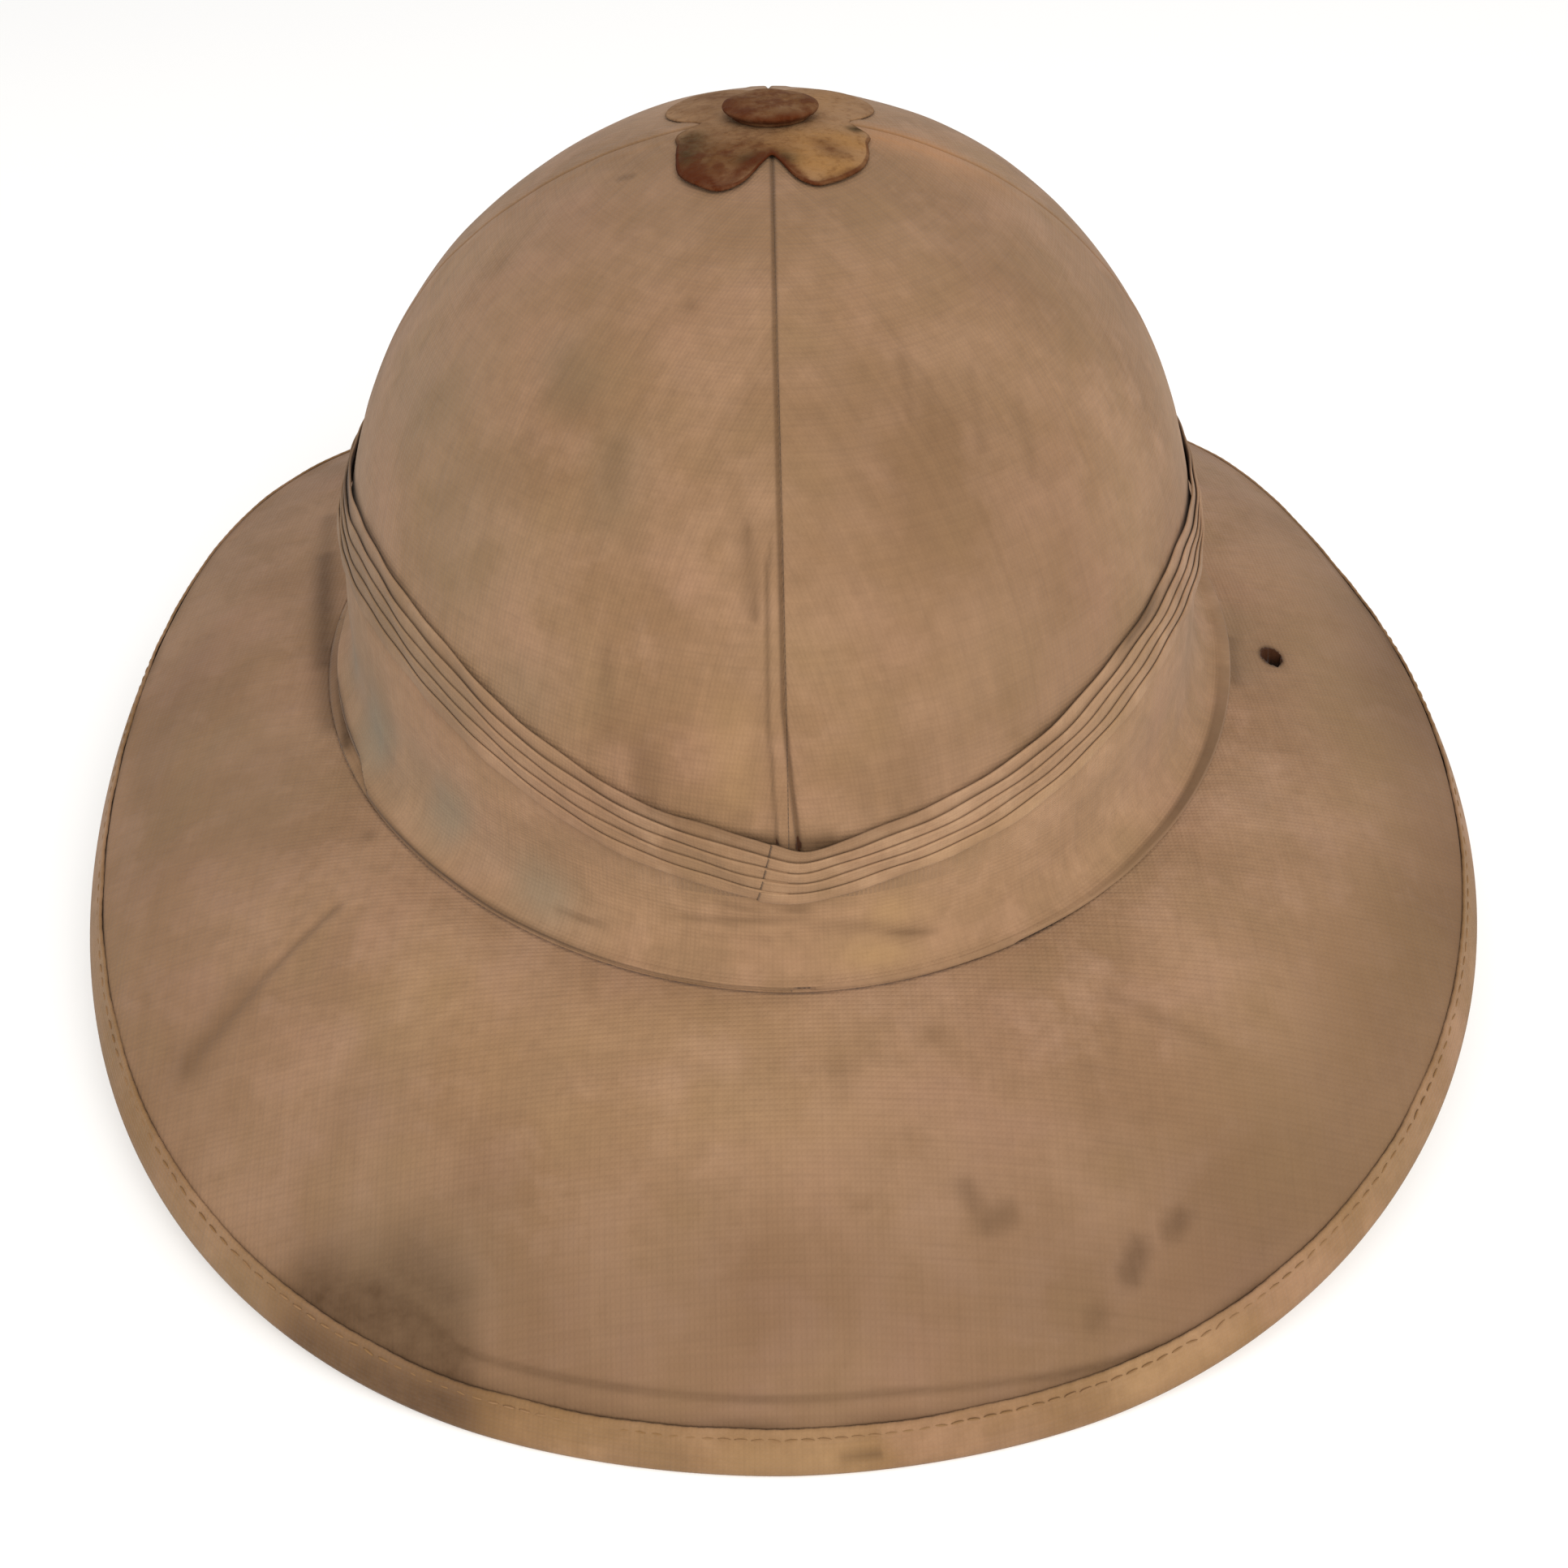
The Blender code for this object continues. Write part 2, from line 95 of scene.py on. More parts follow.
# Marks on the cloth, by kind: ends of a short line as x, y, z in mm, radius in mm, strength.
CROWN_MARKS = dict(
    soil_and_shade=(
        ((-12.9, -44, 146.6), (-12.9, -44, 146.6), 1.7, 0.42),
        ((-10, -37, 150), (4, -36, 150), 6, 0.1), ((-36, -44.7, 137.7), (-32, -54, 133), 4, 0.14),
        ((-25.7, -63.9, 129.5), (-26.5, -68, 126), 2.6, 0.2),
        ((-3.6, -77.4, 123.2), (-3.3, -86.3, 111.5), 1, 0.55),
        ((-5.2, -72, 128), (-5, -84, 115), 1.6, 0.18),
        ((-23.7, -93, 88), (-23.2, -95.5, 80), 3.2, 0.34),
        ((22.8, -52, 140), (24, -62, 133.5), 1.6, 0.4),
        ((27, -54, 137), (27.8, -64, 130.5), 1.4, 0.36),
        ((34.5, -50, 135.5), (36, -62, 127.5), 2.2, 0.4),
        # The broad second row on this line is painted shade low on the dome's right front.
        ((43, -51, 130), (45.5, -61, 122), 2.2, 0.38), ((24, -92, 84), (42, -82, 92), 12, 0.24),
        ((10, -70, 130), (12, -86, 112), 4.5, 0.1),
        ((-28.5, -84, 103), (-29, -90, 88), 1.8, 0.22),
        # The rows on this line and the next two are painted shade in the gap at the crossing of the
        # pleated band's ends.
        ((-14, -99.5, 73.4), (12, -100.5, 72.4), 2, 0.6),
        ((2.5, -101, 72.8), (9, -101, 73.2), 2.2, 0.92),
        ((-6, -100.5, 74), (0.5, -100.8, 73.4), 1.7, 0.8),
        ((-26.2, -6, 154.4), (-24.4, -6.6, 154.9), 1.3, 0.7),
        ((-22, -2, 156.2), (-16, -16, 156.6), 4, 0.2), ((-1, -6, 159), (3, -14, 158), 3, 0.22),
        # This row is painted deep shade in the gap where the plain band has come away on the left.
        ((-97.6, -16, 46.8), (-92.4, -39, 46), 1.9, 0.97),
        # Both broad rows on this line are painted shade: over the top of the dome and down its
        # right front.
        ((-36, -16, 149), (50, -20, 144), 26, 0.17), ((26, -62, 124), (46, -74, 88), 28, 0.28),
        # This row and the next are painted shadow on the flare at the left, beside the band's foot.
        ((-106.5, 12, 46), (-101.5, -12, 46.5), 2.6, 0.62),
        ((-101.5, -12, 46.5), (-96, -32, 46.5), 2.4, 0.5),
    ),
    grey=(
        ((-36, -44.7, 137.7), (-33, -50, 135), 6.5, 0.3),
        ((-25.7, -63.9, 129.5), (-27, -70, 124), 6.5, 0.28),
        ((-45.3, -79, 91.8), (-45.3, -79, 91.8), 9.1, 0.3),
        ((-56.7, -51.3, 115.8), (-54, -60, 106), 16.9, 0.3),
        ((-64.7, -31.2, 120.8), (-60, -36, 124), 14, 0.36),
        # The two broad grey rows on this line are partly grey stain and partly painted shade on the
        # dome's left side.
        ((-80, -45, 84), (-84, -20, 90), 18.2, 0.23), ((-84, 46, 76), (-90, 20, 84), 16, 0.26),
    ),
    yellow=(
        ((-7.8, -95.5, 96), (-7.4, -98.8, 84), 5, 0.42),
    ),
    rust=(
        ((24, 5, 156.4), (35, 6, 152.4), 6, 0.62), ((33, 2, 153.4), (42, 4, 149), 7.5, 0.34),
    ),
)
# The first kind is dark brown: dirt, and also painted shade in gaps, creases and hollows and
# broadly over parts of the dome, brim and bands.
CHANNELS = ("soil_and_shade", "grey", "yellow", "rust")
# The cloth's own colours: plain, in its darker patches, and where it is worn.
CROWN_COLOURS = ("8F7055", "806246", "98785D")
# Colours that all the cotton shares.
PINK_KHAKI = "916D56"
GREEN_KHAKI = "886D4E"
# Dark brown of dirt, also laid on as painted shade.
SOIL_AND_SHADE = "48321D"
# Near-black brown: painted deep shade, which the strongest dark marks turn to.
DEEP_PAINTED_SHADE = "361A04"          # inside the hole and under open edges
# Grey of greyish stains, also painted shade on the dome's and brim's left side.
GREY_SOIL_AND_SHADE = "6A5D46"
YELLOW_SOIL = "9C7C56"
RUST_BLEED = "A4754E"


def as_points(*parts):
    """Points from their coordinates, each stretched over the whole grid."""
    return np.stack(np.broadcast_arrays(*parts), axis=-1)


def unit(vectors):
    """Vectors scaled to length 1."""
    return vectors / np.maximum(np.linalg.norm(vectors, axis=-1, keepdims=True), 1e-12)


def running(steps):
    """Running sum that starts at 0."""
    return np.concatenate([[0.0], np.cumsum(steps)])


def run_along(path):
    """Length of a path from its start to each of its points."""
    return running(np.linalg.norm(np.diff(path, axis=0), axis=-1))


def plan_radius(points):
    """Distance from the crown's middle, seen from above."""
    return np.linalg.norm(points[..., :2] - CROWN_CENTRE, axis=-1)


def smooth_step(value, low, high):
    """0 below low, 1 above high, and 3t^2 - 2t^3 between them."""
    t = np.clip((value - low) / (high - low), 0.0, 1.0)
    return t * t * (3.0 - 2.0 * t)


def bell(value, width):
    """Bell curve of a distance: e to the power -(value / width)^2."""
    return np.exp(-(value / width) ** 2)


def waves(bearing, table):
    """Sum of a table's cosine and sine waves, fading out towards the face end."""
    total = sum(cosine * np.cos(number * bearing) + sine * np.sin(number * bearing)
                for number, cosine, sine in table)
    return total * smooth_step(-np.abs(bearing), -WAVES_END_AT, -WAVES_FADE_FROM)


def end_value(bearing, neck_value, face_value):
    """Value for the half of the helmet that a bearing lies in."""
    return np.where(np.cos(bearing) > 0.0, neck_value, face_value)


def superellipse(bearing, power):
    """Radius of a unit superellipse: (|sin|^p + |cos|^p) to the power -1/p."""
    return (np.abs(np.sin(bearing)) ** power + np.abs(np.cos(bearing)) ** power) ** (-1.0 / power)


def dome_share(height):
    """Share of its plan that the dome keeps at a height: (1 - (h/H)^q)^(1/p)."""
    level = np.clip(height / CROWN_HEIGHT, 0.0, 1.0)
    return (1.0 - level ** DOME_HEIGHT_POWER) ** (1.0 / DOME_RADIUS_POWER)


def crown_point(bearing, height, offset, share=None):
    """Point on the crown: its plan, shrunk to the dome's share at a height, moved outwards."""
    share = dome_share(height) if share is None else share
    swell = waves(bearing, CROWN_WAVES)
    shape = superellipse(bearing, end_value(bearing, CROWN_NECK_POWER, CROWN_FACE_POWER))
    length = end_value(bearing, CROWN_NECK_LENGTH, CROWN_FACE_LENGTH)
    x = ((CROWN_HALF_WIDTH + swell) * share + offset) * shape * np.sin(bearing)
    y = -((length + swell) * share + offset) * shape * np.cos(bearing)
    x = x + CROWN_LEAN * share * (1.0 - share) + CROWN_CENTRE[0]
    return as_points(x, y + CROWN_CENTRE[1], height + CROWN_FOOT_Z)


def flare_rise(turn):
    """Height above the foot on the flare, a quarter ellipse: turn 0 is where it leaves the wall
    and 90 degrees where it meets the brim."""
    return FLARE_RISE * (1.0 - np.sin(turn)) - BRIM_START_DROP


def flare_point(bearing, turn, offset):
    """Point on the flare at a turn, moved away from it."""
    reach = FLARE_REACH * (1.0 - np.cos(turn)) + offset * np.cos(turn)
    rise = flare_rise(turn) + offset * np.sin(turn)
    point = crown_point(bearing, np.maximum(rise, 0.0), reach)
    point[..., 2] = rise + CROWN_FOOT_Z
    return point


def crowded_bearings(count, places, spread, crowd):
    """Bearings once round, closer together near some places.

    Their density is 1 plus a bell curve of height crowd at each place, and the
    bearings divide its running sum evenly.
    """
    fine = np.linspace(-math.pi, math.pi, 9001)
    density = np.ones_like(fine)
    for place in places:
        away = np.angle(np.exp(1j * (fine - place)))
        density = density + crowd * np.exp(-(away / spread) ** 2)
    total = running(0.5 * (density[1:] + density[:-1]))
    return np.interp(np.linspace(0.0, total[-1], count + 1), total, fine)


def soft_noise(points, size, seed, waves_in_all=14):
    """Smooth noise, mostly from -1 to 1: a sum of plane waves of about one length, each in a
    random direction and phase."""
    random = np.random.default_rng(seed)
    total = np.zeros(points.shape[:-1])
    for _ in range(waves_in_all):
        direction = random.normal(size=3)
        direction *= 2.0 * math.pi / (np.linalg.norm(direction) * size * random.uniform(0.7, 1.4))
        total += np.sin(points @ direction + random.uniform(0.0, 2.0 * math.pi))
    return total / math.sqrt(2.0 * waves_in_all)


def grid_normals(grid, pole=False):
    """Unit normals of a grid that closes round its columns: the cross product of the step down
    its rows with the step along its columns."""
    down = np.gradient(grid, axis=0)
    round_it = np.concatenate([grid[:, -2:-1], grid, grid[:, 1:2]], axis=1)
    normal = np.cross(down, (round_it[:, 2:] - round_it[:, :-2]) * 0.5)
    if pole:
        normal[0] = (0.0, 0.0, 1.0)
    return unit(normal)


def uneven(points, table):
    """Sum of soft noises from rows of height, size of the lumps and seed."""
    return sum(height * soft_noise(points, size, seed) for height, size, seed in table)


def from_line(points, start, end):
    """Share of the way along a short line where each point lies, and its distance from it."""
    along = end - start
    way = (points - start) @ along / max(along @ along, 1e-12)
    nearest = start + np.clip(way, 0.0, 1.0)[..., None] * along
    return way, np.linalg.norm(points - nearest, axis=-1)


def paint_marks(points, table):
    """Strengths of the four kinds of mark: a bell curve of the distance from each row's short
    line, the strongest row of a kind winning, so that lines end to end stay even.  A row that
    gives only x and y holds at any height."""
    marks = np.zeros(points.shape[:-1] + (4,))
    for kind, rows in table.items():
        layer = marks[..., CHANNELS.index(kind)]
        for start, end, radius, strength in rows:
            start, end = np.array(start) * MM, np.array(end) * MM
            away = from_line(points[..., :len(start)], start, end)[1]
            np.maximum(layer, strength * bell(away, radius * MM), out=layer)
    return marks


def store(items, key, values, kind=np.float32):
    """Write an array into one of Blender's layers."""
    items.foreach_set(key, values.astype(kind).ravel())


def store_marks(mesh, marks):
    """Write the vertices' marks, held between 0 and 1, into the mesh's marks attribute."""
    layer = mesh.attributes.get("marks") or mesh.attributes.new("marks", "FLOAT_COLOR", "POINT")
    store(layer.data, "color", np.clip(marks, 0.0, 1.0))


def new_object(name, data):
    """Object at the origin, in the scene, that shows a mesh, lamp or camera."""
    thing = bpy.data.objects.new(name, data)
    bpy.context.scene.collection.objects.link(thing)
    return thing


def make_piece(name, grid, material, uv=None, marks=None):
    """Mesh through a grid of points, or through several.  Points that meet become one vertex,
    so rings, tubes and poles close, and a face loses a corner that repeats the one before it.
    Threads run along X and Y, and there are no marks, unless they are given."""
    uv = grid[..., :2] if uv is None else uv
    marks = np.zeros(grid.shape[:-1] + (4,)) if marks is None else marks
    places = np.round(grid.reshape(-1, 3) * 1e7).astype(np.int64)
    _, first, index = np.unique(places, axis=0, return_index=True, return_inverse=True)
    corner = np.arange(len(places)).reshape(grid.shape[:-1])
    quads = np.stack([corner[..., :-1, :-1], corner[..., 1:, :-1],
                      corner[..., 1:, 1:], corner[..., :-1, 1:]], axis=-1).reshape(-1, 4)
    faces = index.reshape(-1)[quads]
    keep = faces != np.roll(faces, 1, axis=1)
    keep[keep.sum(axis=1) < 3] = False
    counts = keep.sum(axis=1)
    counts = counts[counts > 0]
    mesh = bpy.data.meshes.new(name)
    mesh.vertices.add(len(first))
    mesh.loops.add(int(counts.sum()))
    mesh.polygons.add(len(counts))
    store(mesh.vertices, "co", grid.reshape(-1, 3)[first])
    store(mesh.polygons, "loop_start", running(counts)[:-1], np.int32)
    store(mesh.loops, "vertex_index", faces[keep], np.int32)
    store(mesh.uv_layers.new(name="threads").uv, "vector", uv.reshape(-1, 2)[quads[keep]])
    store_marks(mesh, marks.reshape(-1, 4)[first])
    mesh.update(calc_edges=True)
    mesh.validate()
    mesh.shade_smooth()
    mesh.materials.append(material)
    return new_object(name, mesh)


def linear(hex_colour):
    """Linear RGBA of an sRGB hex colour."""
    channels = [int(hex_colour[i:i + 2], 16) / 255.0 for i in (0, 2, 4)]
    return [c / 12.92 if c <= 0.04045 else ((c + 0.055) / 1.055) ** 2.4 for c in channels] + [1.0]


def add_node(tree, kind, inputs=None, **settings):
    """Add a node, set its properties, and set or link its inputs.  A node that is given for an
    input is linked by its first output."""
    node = tree.nodes.new("ShaderNode" + kind)
    for key, value in settings.items():
        setattr(node, key, value)
    for key, value in (inputs or {}).items():
        if isinstance(value, bpy.types.Node):
            value = value.outputs[0]
        if isinstance(value, bpy.types.NodeSocket):
            tree.links.new(value, node.inputs[key])
        else:
            node.inputs[key].default_value = value
    return node


def new_material(name, finish):
    """Material whose shader's own sockets are set, with its tree and its shader."""
    material = bpy.data.materials.new(name)
    material.use_nodes = True
    shader = material.node_tree.nodes["Principled BSDF"]
    for socket, value in finish.items():
        shader.inputs[socket].default_value = value
    return material, material.node_tree, shader


def layer_colours(tree, colour, layers):
    """Colours laid over one another.  Each shows by a share that goes from 0 at one value of
    its pattern to its most at another."""
    for pattern, low, high, most, tone in layers:
        share = add_node(tree, "MapRange", {0: pattern, 1: low, 2: high, 3: 0.0, 4: most})
        colour = add_node(tree, "Mix", {0: share, 6: colour, 7: tone}, data_type="RGBA").outputs[2]
    return colour


def add_up(tree, parts):
    """Sum of patterns, each stretched from its own range to another and held inside it."""
    total = None
    for pattern, low, high, to_low, to_high in parts:
        part = add_node(tree, "MapRange", {0: pattern, 1: low, 2: high, 3: to_low, 4: to_high})
        both = {0: total, 1: part}
        total = part if total is None else add_node(tree, "Math", both, operation="ADD")
    return total


def add_marks(tree, colour, broken, tones):
    """The marks' tones laid over a colour, each by its strength times a broken pattern.  Gives
    the colour and the strengths by kind."""
    marks = add_node(tree, "Attribute", attribute_name="marks", attribute_type="GEOMETRY")
    split = add_node(tree, "SeparateColor", {0: marks.outputs["Color"]})
    strengths = dict(zip(CHANNELS, (*split.outputs, marks.outputs["Alpha"])))
    for kind, tone in tones.items():
        share = add_node(tree, "Math", {0: strengths[kind], 1: broken}, operation="MULTIPLY")
        colour = layer_colours(tree, colour, ((share, 0.0, 1.0, 1.0, linear(tone)),))
    return colour, strengths


def add_relief(tree, shader, parts):
    """Bump whose height is the sum of patterns, each times its own height in metres."""
    total = 0.0
    for pattern, height in parts:
        wanted = {0: pattern, 1: height, 2: total}
        total = add_node(tree, "Math", wanted, operation="MULTIPLY_ADD")
    bump = add_node(tree, "Bump", {"Height": total, "Distance": 1.0, "Strength": 1.0})
    tree.links.new(bump.outputs[0], shader.inputs["Normal"])


THREAD_PITCH = 0.0009         # real drill has 0.45 mm; drawn twice as coarse so that it shows
WEAVE_HEIGHT = 0.00007
CLOTH_FUZZ = 0.00022


def woven_cotton(name, colours, thread_pitch=THREAD_PITCH, bump=1.0, streaks=0.0,
                 grey_soil_and_shade=GREY_SOIL_AND_SHADE):
    """Old khaki cotton, plain woven: a dry matt cloth, rough 0.92, with fine threads, thicker
    slubs here and there, uneven fading, streaks along the warp, and the stains and painted
    shade that the marks attribute gives."""
    material, tree, shader = new_material(name, {
        "Roughness": 0.92, "Specular IOR Level": 0.25,
        "Sheen Weight": 0.06, "Sheen Roughness": 0.5,
    })
    base, shaded, worn, pink, green = map(linear, (*colours, PINK_KHAKI, GREEN_KHAKI))
    place = add_node(tree, "TexCoord").outputs["Object"]
    threads = add_node(tree, "UVMap", uv_map="threads")
    # Plain weave: warp and weft ripple with the thread pitch, one over the other in turn.
    ripples = []
    for run in add_node(tree, "SeparateXYZ", {0: threads}).outputs[:2]:
        angle = add_node(tree, "Math", {0: run, 1: math.pi / thread_pitch}, operation="MULTIPLY")
        ripples.append(add_node(tree, "Math", {0: angle}, operation="SINE"))
    crossing = add_node(tree, "Math", {0: ripples[0], 1: ripples[1]}, operation="MULTIPLY")
    weave = add_node(tree, "Math", {0: crossing}, operation="ABSOLUTE")
    # Coordinates drawn out along the warp, along the weft, and further along the warp.
    warp, weft, long_warp = (
        add_node(tree, "Mapping", {0: threads, 3: (across, along, 1.0)})
        for across, along in ((1.0, 0.05), (0.05, 1.0), (1.0, 0.03))
    )
    # Noises: coordinates, size of their lumps in metres, detail, roughness.
    noises = (
        (warp, 0.0011, 1.0, 0.55),
        (weft, 0.0012, 1.0, 0.55),
        (long_warp, 0.0035, 2.0, 0.55),
        (place, 0.038, 3.0, 0.55),
        (place, 0.012, 4.0, 0.60),
        (place, 0.0028, 3.0, 0.60),
        (place, 0.024, 2.0, 0.55),
    )
    slub_warp, slub_weft, streak, fading, cloud, fleck, tint = (
        add_node(tree, "TexNoise", {0: at, "Scale": 1.0 / size, "Detail": detail,
                                    "Roughness": rough})
        for at, size, detail, rough in noises
    )
    slub = add_node(tree, "Math", {0: slub_warp, 1: slub_weft}, operation="ADD")
    colour = layer_colours(tree, shaded, (
        (fading, 0.36, 0.62, 1.0, base),
        (cloud, 0.50, 0.70, 0.60, worn),
        (cloud, 0.48, 0.33, 0.60, shaded),
        (tint, 0.52, 0.72, 0.34, pink),
        (tint, 0.48, 0.28, 0.38, green),
    ))
    # Threads catch light on their tops and fade unevenly.
    tone = add_up(tree, (
        (weave, 0.0, 1.0, 0.97, 1.005),
        (slub, 0.7, 1.3, -0.035, 0.035),
        (fleck, 0.3, 0.7, -0.06, 0.06),
        (streak, 0.35, 0.65, -streaks, streaks),
    ))
    grey = add_node(tree, "CombineColor", {0: tone, 1: tone, 2: tone})
    colour = add_node(tree, "Mix", {0: 1.0, 6: colour, 7: grey}, data_type="RGBA",
                      blend_type="MULTIPLY").outputs[2]
    # Stains and painted shade, broken up by the cloth.
    broken = add_up(tree, ((cloud, 0.3, 0.7, 0.80, 1.05), (fleck, 0.3, 0.7, -0.10, 0.10)))
    stains_and_shade = {"grey": grey_soil_and_shade, "yellow": YELLOW_SOIL, "rust": RUST_BLEED, "soil_and_shade": SOIL_AND_SHADE}
    colour, strengths = add_marks(tree, colour, broken, stains_and_shade)
    # The strongest dark marks turn to painted deep shade: in the hole and in open gaps.
    deepest = ((strengths["soil_and_shade"], 0.93, 1.0, 1.0, linear(DEEP_PAINTED_SHADE)),)
    tree.links.new(layer_colours(tree, colour, deepest), shader.inputs["Base Color"])
    add_relief(tree, shader, (
        (weave, WEAVE_HEIGHT * bump),
        (slub, 0.4 * CLOTH_FUZZ * bump),
        (cloud, 1.8 * CLOTH_FUZZ),
        (fleck, 0.6 * CLOTH_FUZZ),
    ))
    return material


def seam_lines(height):
    """X of the neck seam and of its lap's far edge at a height above the foot."""
    return [np.interp(height / MM, *np.array(line).T) * MM for line in (NECK_SEAM, NECK_LAP_EDGE)]


def crown_relief(point, height):
    """Relief of the seams, and how dark each seam line is.

    A seam is a narrow groove on a low flat ridge; the lap is a thin extra layer between its
    far edge and the neck seam.
    """
    x, y = point[..., 0] - CROWN_CENTRE[0], point[..., 1] - CROWN_CENTRE[1]
    seam, lap = (point[..., 0] - line for line in seam_lines(height))
    neck = smooth_step(-y, *GORE_EDGE)
    lines = ((seam, neck), (x, smooth_step(y, *GORE_EDGE)), (y, smooth_step(np.abs(x), *GORE_EDGE)))
    relief = np.zeros_like(x)
    dark = np.zeros_like(x)
    for across, shown in lines:
        ridge = SEAM_RAISE * (1.0 - smooth_step(np.abs(across), 0.7 * SEAM_TURNING, SEAM_TURNING))
        relief += shown * (ridge - SEAM_DEPTH * bell(across, SEAM_WIDTH))
        dark += shown * SEAM_SHADE * bell(across, 1.1 * SEAM_WIDTH)
    lap_shown = neck * (1.0 - smooth_step(height, *LAP_TOP))
    on_lap = smooth_step(lap, -0.0002, 0.0002) * (1.0 - smooth_step(seam, -0.0003, 0.0))
    relief += lap_shown * on_lap * LAP_RAISE
    dark += lap_shown * LAP_SHADE * bell(lap + 0.0003, 0.0004)
    return relief, dark


def climb_shape(angle):
    """Share of its plan and height of the dome at a climb angle a: cos(a)^(2/p) and
    H sin(a)^(2/q)."""
    share = np.abs(np.cos(angle)) ** (2.0 / DOME_RADIUS_POWER)
    return share, CROWN_HEIGHT * np.sin(angle) ** (2.0 / DOME_HEIGHT_POWER)


def even_climb(count):
    """Climb angles from the top to the wall's foot whose rows are evenly spaced."""
    fine = np.linspace(0.5 * math.pi, 0.0, 4001)
    share, height = climb_shape(fine)
    stop = height > FLARE_RISE - BRIM_START_DROP
    length = run_along(as_points(share * CROWN_HALF_WIDTH, height)[stop])
    return np.interp(np.linspace(0.0, length[-1], count + 1), length, fine[stop])


def make_crown():
    """Closed shell of the crown: outside with its seams, foot, inside."""
    bearing = crowded_bearings(CROWN_COLUMNS, np.radians([0.3, 90.0, -90.0, 180.0]), 0.03, 8.0)
    bearing = bearing[None, :]
    share, height = climb_shape(even_climb(CROWN_ROWS)[:, None])
    share[0] = 0.0
    dome = crown_point(bearing, height, 0.0, share)
    turn = np.linspace(0.0, 0.5 * math.pi, CROWN_FLARE_ROWS + 1)[1:, None]
    outside = np.concatenate([dome, flare_point(bearing, turn, 0.0)])
    normal = grid_normals(outside, pole=True)
    level = outside[..., 2] - CROWN_FOOT_Z
    relief, dark = crown_relief(outside, level)
    bare = smooth_step(level, 0.012, 0.030)     # 0 under the bands, 1 above them
    relief = relief * (0.25 + 0.75 * bare) + uneven(outside, CROWN_UNEVEN) * (0.4 + 0.6 * bare)
    relief[0] = relief[0].mean()
    inside = outside - normal * PITH_THICKNESS
    shown = outside + normal * relief[..., None]
    grid = np.concatenate([shown, inside[::-CROWN_INSIDE_STEP], inside[:1]])
    grid[:, -1] = grid[:, 0]
    marks = paint_marks(grid, CROWN_MARKS)
    marks[len(outside):] = 0.0
    marks[:len(outside), :, 0] += dark * smooth_step(level, 0.0, 0.012)
    # The cloth's grain runs up the middle of each gore.
    middle = np.radians(np.floor(np.degrees(bearing) / 90.0) * 90.0 + 45.0)
    along = running(np.linalg.norm(np.diff(grid, axis=0), axis=-1).mean(axis=1))
    uv = as_points((bearing - middle) * plan_radius(grid), along[:, None])
    cotton = woven_cotton("khaki_cotton_on_pith_crown", CROWN_COLOURS, streaks=CROWN_GRAIN_STREAKS)
    return make_piece("crown_cover", grid, cotton, uv, marks)


crown = make_crown()
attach(crown, "root")
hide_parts("crown_shell")


# ---------------------------------------------------------------- brim
# The brim is pith 4 mm thick under pasted khaki cotton.  It leaves the crown's flare nearly
# level, slopes down and turns steep at the rim.  A hole is worn through its right side.

BRIM_HALF_WIDTH = 0.1606
BRIM_NECK_LENGTH = 0.1939
BRIM_FACE_LENGTH = 0.1724
BRIM_NECK_POWER = 1.907
BRIM_FACE_POWER = 1.87
JOINT_GAP = 0.00005           # between the cloth of the crown and of the brim
BRIM_SHIFT = -0.0022          # sideways shift of the rim
BRIM_SKEW = -0.0014           # the rim's +X side lies this far towards the neck end
BRIM_SIDE_RISE = 0.0268       # the rim at the sides above the rim at the ends
NECK_RISE_POWER = 1.2         # towards the neck end the rim drops early
FACE_RISE_POWER = 2.68        # towards the face end it stays high for longer
BRIM_FLAT_BEARING = math.radians(20.0)
RIM_SOFTNESS = 0.03           # rounds the turn where the rim leaves the floor
BRIM_DROOP_POWER = 1.8
BRIM_THICKNESS = 0.004
RIM_WAVES = ((3, -0.0015, 0.0010), (4, -0.0054, -0.0021), (5, 0.0003, 0.0010))
BINDING_REACH = 0.0042        # the binding's upper edge lies this far in from the rim
BINDING_EXTRA_REACH = 0.0008  # added at the sides
BINDING_RISE = 0.0086         # and this far above it
BRIM_COLOURS = ("96765B", "86674C", "9E7E65")
UNDER_BINDING = 0.0007        # the brim's edge lies this far inside the binding
UNDER_BINDING_DROP = 0.0002
BRIM_STOP_Z = 0.0042
BRIM_COLUMNS = 520
BRIM_ROWS = 116
BRIM_UNEVEN = ((0.00045, 0.070, 21), (0.0001575, 0.022, 22))
# Creases in the cloth: ends in plan as x, y in mm, width and depth in mm.
BRIM_CREASES = (
    ((-84, -82), (-112, -108), 1.3, 0.42), ((-60, -98), (-70, -108), 2.2, 0.12),
    ((61, -111), (80, -118.5), 1.6, 0.14), ((-120, -18), (-132, -46), 3, 0.2),
)
